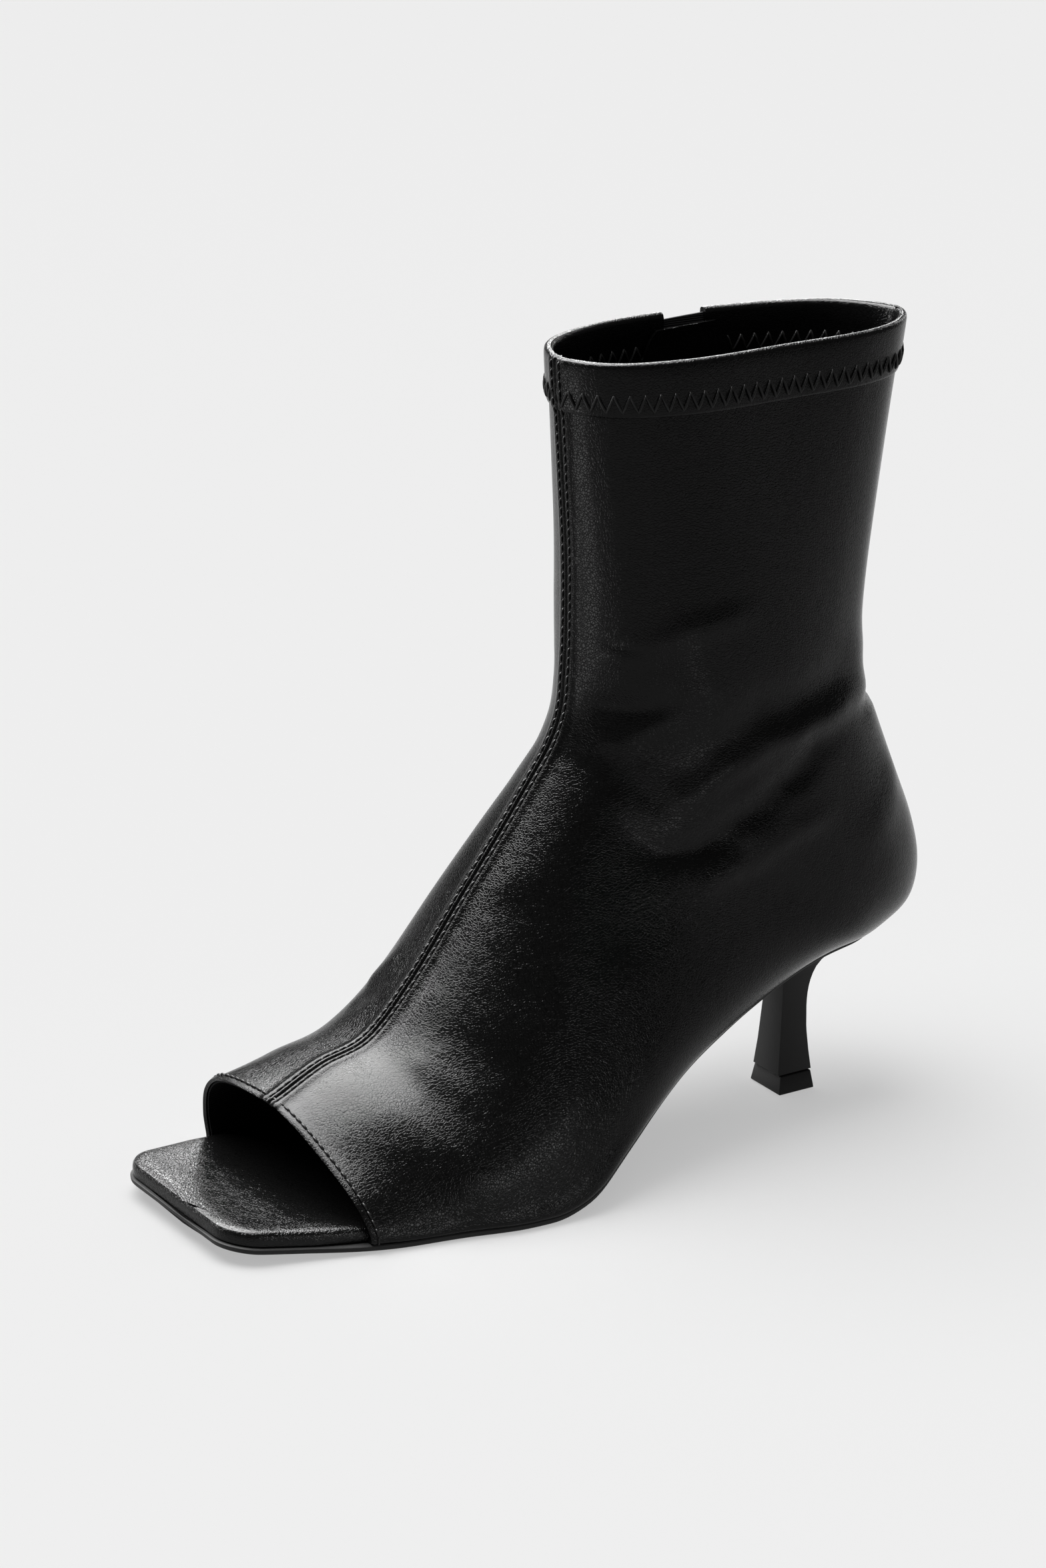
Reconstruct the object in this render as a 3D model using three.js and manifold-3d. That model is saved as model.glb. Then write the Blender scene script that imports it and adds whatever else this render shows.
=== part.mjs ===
// An open-toe heeled ankle boot for the left foot, standing on its sole. Millimetres, +Z up, toe towards -Y,
// outer side of the foot towards +X. All work is done from the middle of the heel's foot on the floor, and the
// finished boot is moved so that its origin is the middle of its footprint.

import * as THREE from "three";
import { mergeVertices } from "three/addons/utils/BufferGeometryUtils.js";
import Module from "manifold-3d";

const wasm = await Module();
wasm.setup();

// Overall sizes
const toeReach = 190.5; // middle of the heel's foot to the toe's front edge
const heelReach = 37.9; // middle of the heel's foot to the back of the counter
const rimHeight = 219; // floor to the collar's rim
const ballWidth = 85; // sole, across the ball
const seatHeight = 45; // floor to the outsole's underside at the heel seat
const toeSpring = 4; // lift of the outsole's front edge

// Walls and clearances
const gap = 0.3; // between pieces that touch
const upperWall = 1.6; // leather and lining together
const outsoleThickness = 1.8;
const outsoleRound = 1; // underside's rim, in from the outsole's side
const footbedThickness = 4.2;
const footbedInset = 0.6; // open toe: footbed's side behind the outsole's side
const footbedSpread = 5; // inside the upper: as far past the outsole's plan as the walls let it
const toeCorner = 9; // radius of the square toe's corners

// Upper's trims
const hemWidth = 14.5; // folded collar hem
const hemStep = 0.7; // hem, proud of the shaft
const seamWidth = 6.6; // raised seam down the front
const seamStep = 0.6;
const lastedMargin = 4.5; // turned in under the foot, on the sole
const featherOverhang = 0.4; // upper's edge, proud of the sole's plan

// Heel and top lift
const liftHeight = 5.2;
const liftWidth = 14; // across the foot, at the floor
const liftLength = 11.8; // along the foot, at the floor
const liftFlare = 0.8; // how much each side of the lift leans in towards its top
const heelLedge = 0.3; // heel's foot, inside the lift's top edge

// Side zip, on the inner side of the foot
const slotWidth = 12.6; // opening in the leather, down most of the zip
const tapeSunk = 0.35; // tape's face below the leather's face
const tapeThickness = 0.9;
const chainWidth = 6.4;
const chainHeight = 1.0; // coil, proud of the tape
const sliderLength = 12;
const sliderPlate = 1.3; // top plate of the slider
const sliderRail = 0.9; // side walls of the slider, beside the coil
const sliderCut = 1.6; // corners cut off the plate
const sliderDrop = 10; // middle of the slider below the rim
const chainDrop = 2.5; // top of the coil below the rim
const bridgeWidth = 3.6;
const bridgeHollow = 2.5; // under the slider's bridge
const bridgeBar = 1.1; // thickness of the bridge
const bridgeLength = 8; // of the hollow
const bridgeSink = 0.2; // bridge's feet, let into the plate
const pullLength = 27;
const pullWidth = 7.6;
const pullThickness = 1.3;
const pullBar = 1.4; // bar at the pull's top, under the bridge
const pullSlotLength = 11;
const pullSlotWidth = 4.4;
const pullCut = 1;
const placketWidth = 26; // flap behind the zip
const placketThickness = 1;
const zipInboard = 3; // nothing of the zip comes nearer to the boot's middle
const placketDrop = 3; // flap's top below the rim
const placketClear = 0.9; // flap's foot over the footbed

// Rolled edge of the footbed in the open toe, from its foot to its top, as shares of footbedThickness.
const footbedRoll = [
  { inset: 0.12, lift: 0 },
  { inset: 0, lift: 0.12 },
  { inset: 0, lift: 0.55 },
  { inset: 0.14, lift: 0.83 },
  { inset: 0.52, lift: 1 },
];

// Sole's seat, as shares of the sizes that it follows
const seatReach = 0.7; // end of the seat, of heelReach
const seatRoundShare = 0.62; // length of the seat's rounding, of its reach

// Smoothness of the facets
const ringSteps = 36;
const formSteps = 33;
const underSteps = 27; // sections that follow the sole's edge
const cornerTries = 10; // each nearer to the sole's edge
const planSteps = 34;
const cornerSteps = 5;
const zipSteps = 22;
const heelSteps = 22;
const archSteps = 8;

// Outsole's underside along the middle of the foot. along: towards the toe from the heel's foot, as a share of
// toeReach. rise: share of seatHeight. spring: share of toeSpring. tilt: how much the inner side lifts, mm for
// each mm across.
const soleLine = [
  { along: -0.3, rise: 1.01, spring: 0, tilt: 0 },
  { along: -0.14, rise: 1.0, spring: 0, tilt: 0 },
  { along: 0, rise: 0.955, spring: 0, tilt: 0.02 },
  { along: 0.07, rise: 0.91, spring: 0, tilt: 0.06 },
  { along: 0.14, rise: 0.845, spring: 0, tilt: 0.1 },
  { along: 0.21, rise: 0.765, spring: 0, tilt: 0.13 },
  { along: 0.3, rise: 0.625, spring: 0, tilt: 0.13 },
  { along: 0.37, rise: 0.46, spring: 0, tilt: 0.09 },
  { along: 0.43, rise: 0.27, spring: 0, tilt: 0.05 },
  { along: 0.48, rise: 0.11, spring: 0, tilt: 0.03 },
  { along: 0.52, rise: 0.025, spring: 0, tilt: 0.01 },
  { along: 0.55, rise: 0, spring: 0, tilt: 0 },
  { along: 0.74, rise: 0, spring: 0, tilt: 0 },
  { along: 0.82, rise: 0, spring: 0.15, tilt: 0 },
  { along: 0.91, rise: 0, spring: 0.52, tilt: 0 },
  { along: 1.0, rise: 0, spring: 1, tilt: 0 },
];

// Sole's plan. outer and inner: half widths as shares of ballWidth.
const solePlan = [
  { along: -0.15, outer: 0.15, inner: 0.15 },
  { along: -0.08, outer: 0.168, inner: 0.165 },
  { along: 0.0, outer: 0.19, inner: 0.185 },
  { along: 0.1, outer: 0.235, inner: 0.2 },
  { along: 0.2, outer: 0.289, inner: 0.225 },
  { along: 0.3, outer: 0.36, inner: 0.26 },
  { along: 0.4, outer: 0.455, inner: 0.315 },
  { along: 0.49, outer: 0.51, inner: 0.4 },
  { along: 0.58, outer: 0.505, inner: 0.465 },
  { along: 0.68, outer: 0.455, inner: 0.503 },
  { along: 0.8, outer: 0.402, inner: 0.49 },
  { along: 0.9, outer: 0.335, inner: 0.45 },
  { along: 1.0, outer: 0.275, inner: 0.405 },
];

// Line down the front of the upper, from the toe opening over the instep to the rim. t numbers the sections.
// along: share of toeReach. height: share of rimHeight. side: share of ballWidth, + to the outer side.
const frontLine = [
  { t: 0, along: 0.851, height: 0.133, side: -0.054 },
  { t: 0.1, along: 0.772, height: 0.168, side: -0.048 },
  { t: 0.2, along: 0.693, height: 0.192, side: -0.041 },
  { t: 0.28, along: 0.625, height: 0.256, side: -0.035 },
  { t: 0.36, along: 0.551, height: 0.345, side: -0.031 },
  { t: 0.43, along: 0.488, height: 0.42, side: -0.027 },
  { t: 0.49, along: 0.441, height: 0.479, side: -0.024 },
  { t: 0.54, along: 0.412, height: 0.518, side: -0.021 },
  { t: 0.6, along: 0.394, height: 0.559, side: -0.019 },
  { t: 0.67, along: 0.389, height: 0.605, side: -0.019 },
  { t: 0.77, along: 0.387, height: 0.671, side: -0.019 },
  { t: 0.86, along: 0.39, height: 0.767, side: -0.019 },
  { t: 0.93, along: 0.399, height: 0.872, side: -0.019 },
  { t: 1, along: 0.411, height: 1, side: -0.02 },
];

// Line under the foot and up the back. Under the foot it follows the sole: along is a share of toeReach, and
// tuck is how far below the feather edge the section would close, mm. Up the back, reach is a share of heelReach
// and climb a share of the height from the seat to the rim.
const underLine = [
  { t: 0, along: 0.815, tuck: 8 },
  { t: 0.1, along: 0.714, tuck: 8 },
  { t: 0.2, along: 0.593, tuck: 8 },
  { t: 0.28, along: 0.483, tuck: 8 },
  { t: 0.36, along: 0.346, tuck: 8 },
  { t: 0.43, along: 0.2, tuck: 7 },
  { t: 0.49, along: 0.042, tuck: 5 },
  { t: 0.54, along: -0.09, tuck: 3 },
];
const backLine = [
  { t: 0.575, reach: 0.79, climb: 0.005, side: 0 },
  { t: 0.6, reach: 0.945, climb: 0.035, side: 0 },
  { t: 0.63, reach: 1.0, climb: 0.09, side: 0.005 },
  { t: 0.67, reach: 0.935, climb: 0.165, side: 0.01 },
  { t: 0.72, reach: 0.735, climb: 0.272, side: 0.015 },
  { t: 0.77, reach: 0.515, climb: 0.39, side: 0.02 },
  { t: 0.81, reach: 0.4, climb: 0.471, side: 0.025 },
  { t: 0.86, reach: 0.43, climb: 0.58, side: 0.028 },
  { t: 0.93, reach: 0.56, climb: 0.775, side: 0.029 },
  { t: 1, reach: 0.725, climb: 1, side: 0.03 },
];

// Half widths of the upper at four levels of each section, from the front line (0) to its lowest corner (1), as
// shares of ballWidth. skew: how much the section runs back towards the outer side, mm for each mm across.
const levels = [0.065, 0.27, 0.6, 0.87];
const girths = [
  { t: 0, skew: 0.074, outer: [0.095, 0.228, 0.381, 0.435], inner: [0.295, 0.38, 0.427, 0.44] },
  { t: 0.1, skew: 0.05, outer: [0.13, 0.282, 0.406, 0.465], inner: [0.215, 0.368, 0.46, 0.478] },
  { t: 0.2, skew: 0.02, outer: [0.155, 0.33, 0.48, 0.52], inner: [0.212, 0.375, 0.462, 0.48] },
  { t: 0.28, skew: 0, outer: [0.165, 0.335, 0.485, 0.53], inner: [0.21, 0.36, 0.43, 0.435] },
  { t: 0.36, skew: 0, outer: [0.16, 0.315, 0.44, 0.48], inner: [0.2, 0.335, 0.39, 0.365] },
  { t: 0.43, skew: 0, outer: [0.16, 0.3, 0.395, 0.41], inner: [0.19, 0.315, 0.355, 0.325] },
  { t: 0.49, skew: 0, outer: [0.16, 0.295, 0.36, 0.355], inner: [0.18, 0.305, 0.335, 0.305] },
  { t: 0.54, skew: 0, outer: [0.16, 0.3, 0.35, 0.34], inner: [0.18, 0.305, 0.335, 0.31] },
  { t: 0.6, skew: 0, outer: [0.165, 0.305, 0.353, 0.325], inner: [0.18, 0.31, 0.34, 0.305] },
  { t: 0.67, skew: 0, outer: [0.165, 0.31, 0.34, 0.29], inner: [0.178, 0.315, 0.34, 0.28] },
  { t: 0.77, skew: 0, outer: [0.165, 0.3, 0.32, 0.258], inner: [0.176, 0.31, 0.33, 0.257] },
  { t: 0.86, skew: 0, outer: [0.155, 0.27, 0.285, 0.23], inner: [0.172, 0.3, 0.312, 0.247] },
  { t: 1, skew: 0, outer: [0.139, 0.213, 0.205, 0.186], inner: [0.168, 0.275, 0.289, 0.236] },
];
const backLevel = 0.93; // lowest corner up the back: its share of the section
const backWidth = 0.66; // and its half width, as a share of the fourth level's

// Heel block from its foot to the seat. height: share of the heel's own height. front and back: shares of
// liftLength. half: share of liftWidth.
const heelForm = [
  { height: 0, front: 0.49, back: 0.455, half: 0.42 },
  { height: 0.18, front: 0.435, back: 0.385, half: 0.377 },
  { height: 0.38, front: 0.39, back: 0.338, half: 0.345 },
  { height: 0.58, front: 0.35, back: 0.36, half: 0.32 },
  { height: 0.76, front: 0.34, back: 0.52, half: 0.315 },
  { height: 0.87, front: 0.38, back: 0.78, half: 0.37 },
  { height: 0.95, front: 0.5, back: 1.1, half: 0.52 },
  { height: 1.02, front: 0.75, back: 1.5, half: 0.74 },
  { height: 1.1, front: 1.0, back: 1.65, half: 0.85 },
];

// Middle of the zip, seen from the inner side. along: share of toeReach. height: share of rimHeight. wide: share
// of slotWidth.
const zipLine = [
  { along: 0.13, height: 1.03, wide: 1 },
  { along: 0.124, height: 0.905, wide: 1 },
  { along: 0.127, height: 0.78, wide: 1 },
  { along: 0.139, height: 0.66, wide: 1 },
  { along: 0.157, height: 0.54, wide: 1 },
  { along: 0.174, height: 0.43, wide: 1 },
  { along: 0.194, height: 0.335, wide: 0.98 },
  { along: 0.214, height: 0.265, wide: 0.85 },
  { along: 0.238, height: 0.222, wide: 0.5 },
  { along: 0.258, height: 0.2, wide: 0.12 },
];

const seatZ = seatHeight + outsoleThickness;
const aboveRim = 2 * rimHeight; // past the top of every piece
const zipStep = 0.01; // share of the zip that its heading is taken over
const underSide = 0.6; // under line's way to the side, as a share of the front line's
const leather = { color: 0x111112, roughness: 0.38, metalness: 0 };
const rubber = { color: 0x0d0d0d, roughness: 0.8, metalness: 0 };
const metal = { color: 0x1b1b1d, roughness: 0.3, metalness: 0.9 };

// Value of one column of a table at a place, on a smooth curve through the rows that never overshoots them.
function read(table, key, place, column) {
  const rows = table.length;
  let i = 0;
  while (i < rows - 2 && place > table[i + 1][key]) i += 1;
  const value = (n) => column(table[n]);
  const slopeOf = (n) => (value(n + 1) - value(n)) / (table[n + 1][key] - table[n][key]);
  const bendAt = (n) => {
    if (n === 0) return slopeOf(0);
    if (n === rows - 1) return slopeOf(rows - 2);
    const before = slopeOf(n - 1);
    const after = slopeOf(n);
    if (before * after <= 0) return 0;
    const limit = 3 * Math.min(Math.abs(before), Math.abs(after));
    const mean = (before + after) / 2;
    return Math.sign(mean) * Math.min(Math.abs(mean), limit);
  };
  const span = table[i + 1][key] - table[i][key];
  const u = Math.min(Math.max((place - table[i][key]) / span, 0), 1);
  const start = bendAt(i) * span;
  const end = bendAt(i + 1) * span;
  const rise = value(i + 1) - value(i);
  const a = start + end - 2 * rise;
  const b = 3 * rise - 2 * start - end;
  return value(i) + u * (start + u * (b + u * a));
}

// Height of the outsole's underside over the floor, at any place of the plan.
function undersideZ(x, y) {
  const along = -y / toeReach;
  const column = (row) => row.rise * seatHeight + row.spring * toeSpring;
  return read(soleLine, "along", along, column) - x * read(soleLine, "along", along, (row) => row.tilt);
}

function featherZ(x, y) {
  return undersideZ(x, y) + outsoleThickness;
}

// Closed body through rings of as many points each, with its two ends capped.
function loft(rings) {
  const count = rings[0].length;
  const points = rings.flat();
  const faces = [];
  for (let r = 0; r + 1 < rings.length; r += 1) {
    for (let i = 0; i < count; i += 1) {
      const a = r * count + i;
      const b = r * count + ((i + 1) % count);
      faces.push(a, b, b + count, a, b + count, a + count);
    }
  }
  const last = (rings.length - 1) * count;
  for (const [ring, from, turn] of [[rings[0], 0, 1], [rings[rings.length - 1], last, -1]]) {
    const middle = points.length;
    const sum = ring.reduce((total, p) => total.add(p), new THREE.Vector3());
    points.push(sum.divideScalar(count));
    for (let i = 0; i < count; i += 1) {
      const next = (i + 1) % count;
      faces.push(middle, from + (turn > 0 ? next : i), from + (turn > 0 ? i : next));
    }
  }
  return body(points, faces);
}

// Solid from points and faces, with the faces turned outwards.
function body(points, faces) {
  let volume = 0;
  for (let f = 0; f < faces.length; f += 3) {
    const [a, b, c] = [points[faces[f]], points[faces[f + 1]], points[faces[f + 2]]];
    volume += a.dot(new THREE.Vector3().crossVectors(b, c));
  }
  if (volume < 0) {
    for (let f = 0; f < faces.length; f += 3) {
      [faces[f + 1], faces[f + 2]] = [faces[f + 2], faces[f + 1]];
    }
  }
  const geometry = new THREE.BufferGeometry();
  const positions = new Float32Array(points.flatMap((p) => [p.x, p.y, p.z]));
  geometry.setAttribute("position", new THREE.BufferAttribute(positions, 3));
  geometry.setIndex(faces);
  return solid(geometry);
}

// A closed three.js geometry as a solid that can be joined and cut.
function solid(geometry) {
  const bare = geometry.clone();
  bare.deleteAttribute("normal");
  bare.deleteAttribute("uv");
  const merged = mergeVertices(bare, 1e-5);
  const vertProperties = new Float32Array(merged.attributes.position.array);
  const triVerts = new Uint32Array(merged.index.array);
  return new wasm.Manifold(new wasm.Mesh({ numProp: 3, vertProperties, triVerts }));
}

function box(low, high) {
  const size = new THREE.Vector3().subVectors(high, low);
  const geometry = new THREE.BoxGeometry(size.x, size.y, size.z);
  geometry.translate((low.x + high.x) / 2, (low.y + high.y) / 2, (low.z + high.z) / 2);
  return solid(geometry);
}

function frontPoint(t) {
  return new THREE.Vector3(
    read(frontLine, "t", t, (row) => row.side) * ballWidth,
    -read(frontLine, "t", t, (row) => row.along) * toeReach,
    read(frontLine, "t", t, (row) => row.height) * rimHeight,
  );
}

// Where a section closes under the foot, and its lowest corners on the sole's edge on both sides.
function closingUnder(t) {
  const front = frontPoint(t);
  const y = -read(underLine, "t", t, (row) => row.along) * toeReach;
  const tuck = read(underLine, "t", t, (row) => row.tuck);
  const back = new THREE.Vector3(front.x * underSide, y, featherZ(0, y) - tuck);
  const depth = front.z - back.z;
  const corner = (sign, column) => {
    let level = 1 - tuck / depth;
    let half = 0;
    for (let n = 0; n < cornerTries; n += 1) {
      const foot = new THREE.Vector3().lerpVectors(front, back, level);
      const x = sign * (read(solePlan, "along", -foot.y / toeReach, column) * ballWidth + featherOverhang);
      half = sign * (x - foot.x);
      level = (level + (front.z - featherZ(x, foot.y)) / depth) / 2;
    }
    return { level, half };
  };
  return { t, back, outer: corner(1, (row) => row.outer), inner: corner(-1, (row) => row.inner) };
}

// Where a section closes up the back, with its lowest corners at a share of the fourth level's width.
function closingBehind({ t, reach, climb, side }) {
  const z = seatZ + climb * (rimHeight - seatZ);
  const back = new THREE.Vector3(side * ballWidth, reach * heelReach, z);
  const corner = (column) => ({
    level: backLevel,
    half: read(girths, "t", t, column) * backWidth * ballWidth,
  });
  return { t, back, outer: corner((row) => row.outer[3]), inner: corner((row) => row.inner[3]) };
}

const underEnd = underLine[underLine.length - 1].t;
const closings = [
  ...Array.from({ length: underSteps + 1 }, (_, n) => closingUnder((underEnd * n) / underSteps)),
  ...backLine.map(closingBehind),
];

// Front point, back or under point and cross direction of the upper's section t.
function sectionFrame(t) {
  const front = frontPoint(t);
  const back = new THREE.Vector3(
    read(closings, "t", t, (row) => row.back.x),
    read(closings, "t", t, (row) => row.back.y),
    read(closings, "t", t, (row) => row.back.z),
  );
  const across = new THREE.Vector3(1, read(girths, "t", t, (row) => row.skew), 0);
  return { front, back, across };
}

// Ring of the upper's form at section t, moved outwards by grow (or inwards, when it is below 0).
function formRing(t, grow) {
  const { front, back, across } = sectionFrame(t);
  const down = new THREE.Vector3().subVectors(back, front);
  const depth = down.length();
  down.normalize();
  const side = (sign, key) => {
    const lowest = read(closings, "t", t, (row) => row[key].level) * depth;
    const half = read(closings, "t", t, (row) => row[key].half);
    const wide = levels.map((_, n) => read(girths, "t", t, (row) => row[key][n]) * ballWidth);
    return [...levels, 1].map((level, n) => new THREE.Vector3(sign * (wide[n] ?? half), level * lowest, 0));
  };
  const corners = [
    new THREE.Vector3(0, 0, 0),
    ...side(1, "outer"),
    new THREE.Vector3(0, depth, 0),
    ...side(-1, "inner").reverse(),
  ];
  const curve = new THREE.CatmullRomCurve3(corners, true, "centripetal");
  const ring = [];
  for (let i = 0; i < ringSteps; i += 1) {
    const u = i / ringSteps;
    const p = curve.getPoint(u);
    const tangent = curve.getTangent(u);
    const outwards = new THREE.Vector2(tangent.y, -tangent.x).normalize();
    p.x += outwards.x * grow;
    p.y += outwards.y * grow;
    ring.push(front.clone().addScaledVector(across, p.x).addScaledVector(down, p.y));
  }
  return ring;
}

// The upper's outer form, filled, moved outwards by grow and run past both its ends by reach.
function form(grow, reach) {
  const rings = [];
  for (let s = 0; s <= formSteps; s += 1) rings.push(formRing(s / formSteps, grow));
  if (reach > 0) {
    const opening = new THREE.Vector3().subVectors(rings[0][0], rings[1][0]).setLength(reach);
    const rim = new THREE.Vector3(0, 0, reach);
    rings.unshift(rings[0].map((p) => p.clone().add(opening)));
    rings.push(rings[rings.length - 1].map((p) => p.clone().add(rim)));
  }
  return loft(rings);
}

// Everything in front of the toe opening, from a clearance before it.
function openingBlock() {
  const { front, back, across } = sectionFrame(0);
  const down = new THREE.Vector3().subVectors(back, front).normalize();
  const sideways = across.clone().normalize();
  const ahead = new THREE.Vector3().crossVectors(sideways, down).normalize();
  if (ahead.y > 0) ahead.negate();
  const middle = front.clone().addScaledVector(ahead, gap);
  const corners = [[-1, -1], [1, -1], [1, 1], [-1, 1]].map(([x, y]) =>
    middle.clone().addScaledVector(sideways, x * ballWidth).addScaledVector(down, y * ballWidth));
  return loft([corners, corners.map((p) => p.clone().addScaledVector(ahead, ballWidth))]);
}

// Block under (or over) a surface that lies lift above the outsole's underside.
function soleBlock(lift, limit) {
  const half = ballWidth;
  const ends = [-toeReach - ballWidth, heelReach + ballWidth];
  const places = [ends[0], ...planStations().map((station) => station.y), ends[1]];
  return loft(places.map((y) => [
    ...[-half, -half / 2, 0, half / 2, half].map((x) => new THREE.Vector3(x, y, undersideZ(x, y) + lift)),
    new THREE.Vector3(half, y, limit),
    new THREE.Vector3(-half, y, limit),
  ]));
}

// Places down the sole's plan, from the toe to the seat's end, with the outer and inner half widths there.
function planStations() {
  const stations = [];
  const seatEnd = seatReach * heelReach;
  const seatRound = seatEnd * seatRoundShare;
  const halves = (y, cut, round) => {
    const along = -y / toeReach;
    const outer = (read(solePlan, "along", along, (row) => row.outer) * ballWidth - cut) * round;
    const inner = (read(solePlan, "along", along, (row) => row.inner) * ballWidth - cut) * round;
    stations.push({ y, outer, inner });
  };
  for (let k = 0; k <= cornerSteps; k += 1) {
    const angle = (k / cornerSteps) * (Math.PI / 2);
    const y = -toeReach + toeCorner * (1 - Math.cos(angle));
    halves(y, toeCorner * (1 - Math.sin(angle)), 1);
  }
  const start = -toeReach + toeCorner;
  const end = seatEnd - seatRound;
  for (let k = 1; k < planSteps; k += 1) halves(start + ((end - start) * k) / planSteps, 0, 1);
  for (let k = 0; k <= cornerSteps; k += 1) {
    const angle = (k / (cornerSteps + 0.5)) * (Math.PI / 2);
    halves(end + seatRound * Math.sin(angle), 0, Math.cos(angle));
  }
  return stations;
}

// A plate that follows the sole's plan and its curve. Each row of edge is one ring: inset from the plan, and lift
// over the outsole's underside.
function plate(edge) {
  const stations = planStations();
  const last = stations.length - 1;
  const plan = [
    ...stations.map((s) => new THREE.Vector2(s.outer, s.y)),
    new THREE.Vector2(0, stations[last].y),
    ...stations.map((s) => new THREE.Vector2(-s.inner, s.y)).reverse(),
    new THREE.Vector2(0, stations[0].y),
  ];
  const count = plan.length;
  const outwards = plan.map((p, i) => {
    const before = plan[(i + count - 1) % count];
    const after = plan[(i + 1) % count];
    return new THREE.Vector2(-(after.y - before.y), after.x - before.x).normalize().negate();
  });
  const points = [];
  const faces = [];
  const addPoint = (x, y, lift) => points.push(new THREE.Vector3(x, y, undersideZ(x, y) + lift)) - 1;
  for (const { inset, lift } of edge) {
    plan.forEach((p, i) => addPoint(p.x - outwards[i].x * inset, p.y - outwards[i].y * inset, lift));
  }
  for (let r = 0; r + 1 < edge.length; r += 1) {
    for (let i = 0; i < count; i += 1) {
      const a = r * count + i;
      const b = r * count + ((i + 1) % count);
      faces.push(a, b, b + count, a, b + count, a + count);
    }
  }
  for (const [ring, turned] of [[0, true], [edge.length - 1, false]]) {
    const start = ring * count;
    const rows = stations.map((_, i) => {
      const [outer, inner] = [start + i, start + count - 2 - i];
      if (i === 0) return [outer, start + count - 1, inner];
      if (i === last) return [outer, start + last + 1, inner];
      const share = points[outer].x / (points[outer].x - points[inner].x);
      const y = points[outer].y + (points[inner].y - points[outer].y) * share;
      return [outer, addPoint(0, y, edge[ring].lift), inner];
    });
    for (let i = 0; i < last; i += 1) {
      for (const side of [0, 1]) {
        const [a, b] = [rows[i][side], rows[i][side + 1]];
        const [d, c] = [rows[i + 1][side], rows[i + 1][side + 1]];
        if (turned) faces.push(a, b, c, a, c, d);
        else faces.push(a, c, b, a, d, c);
      }
    }
  }
  return body(points, faces);
}

// Middle, heading and half width of the zip's slot at v, from above the rim (0) to the slot's lower end (1).
function zipAt(v) {
  const rows = zipLine.map((row, n) => ({ ...row, n }));
  const last = rows.length - 1;
  const place = (w) => new THREE.Vector2(
    -read(rows, "n", w * last, (row) => row.along) * toeReach,
    read(rows, "n", w * last, (row) => row.height) * rimHeight,
  );
  const middle = place(v);
  const heading = place(Math.min(v + zipStep, 1)).sub(place(Math.max(v - zipStep, 0))).normalize();
  const half = (read(rows, "n", v * last, (row) => row.wide) * slotWidth) / 2;
  return { middle, heading, half };
}

// Strip down the zip, drawn as seen from the inner side and run across the inner half of the boot. halfAt gives
// its half width from the slot's. It starts at a height of top.
function zipPrism(halfAt, top) {
  const left = [];
  const right = [];
  for (let s = 0; s <= zipSteps; s += 1) {
    const { middle, heading, half } = zipAt(s / zipSteps);
    if (middle.y > top) continue;
    const reach = Math.max(halfAt(half), gap);
    left.push(new THREE.Vector2(middle.x - heading.y * reach, middle.y + heading.x * reach));
    right.push(new THREE.Vector2(middle.x + heading.y * reach, middle.y - heading.x * reach));
  }
  const outline = new THREE.Shape([...left, ...right.reverse()]);
  const geometry = new THREE.ExtrudeGeometry(outline, { depth: ballWidth, bevelEnabled: false });
  geometry.applyMatrix4(new THREE.Matrix4().makeBasis(
    new THREE.Vector3(0, 1, 0),
    new THREE.Vector3(0, 0, 1),
    new THREE.Vector3(1, 0, 0),
  ));
  geometry.translate(-ballWidth - zipInboard, 0, 0);
  return solid(geometry);
}

// Layer of the upper's form between two depths: from outer (proud of the leather, or below it) to inner.
function skinLayer(outer, inner) {
  return form(outer, 0).subtract(form(inner, gap));
}

function hemBlock() {
  const low = new THREE.Vector3(-ballWidth, -toeReach, rimHeight - hemWidth);
  return box(low, new THREE.Vector3(ballWidth, toeReach, rimHeight + hemWidth));
}

// Thin block down the front line that the raised seam is cut with.
function seamBlock() {
  const rings = [];
  for (let s = 0; s <= formSteps; s += 1) {
    const { front, back, across } = sectionFrame(s / formSteps);
    const down = new THREE.Vector3().subVectors(back, front).normalize();
    rings.push([[-1, -1], [1, -1], [1, 1], [-1, 1]].map(([x, y]) =>
      front.clone().addScaledVector(across, (x * seamWidth) / 2).addScaledVector(down, y * seamWidth)));
  }
  return loft(rings);
}

function makeUpper() {
  const raised = form(seamStep, 0).add(form(hemStep + seamStep, 0).intersect(hemBlock()));
  const outer = form(0, 0)
    .add(form(hemStep, 0).intersect(hemBlock()))
    .add(raised.intersect(seamBlock()));
  const edge = [
    { inset: lastedMargin, lift: 0 },
    { inset: lastedMargin, lift: outsoleThickness + footbedThickness },
  ];
  return outer
    .subtract(form(-upperWall, upperWall))
    .subtract(soleBlock(outsoleThickness + gap, -rimHeight))
    .subtract(plate(edge))
    .subtract(zipPrism((half) => half, aboveRim));
}

function makeOutsole() {
  return plate([
    { inset: outsoleRound, lift: 0 },
    { inset: 0, lift: outsoleRound / 2 },
    { inset: 0, lift: outsoleThickness },
  ]);
}

function makeFootbed() {
  const low = outsoleThickness + gap;
  const high = low + footbedThickness;
  const roll = footbedRoll.map(({ inset, lift }) => (
    { inset: footbedInset + inset * footbedThickness, lift: low + lift * footbedThickness }
  ));
  const open = plate(roll).intersect(openingBlock());
  const covered = plate([{ inset: -footbedSpread, lift: low }, { inset: -footbedSpread, lift: high }])
    .intersect(form(-upperWall - gap, upperWall));
  return open.add(covered);
}

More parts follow.
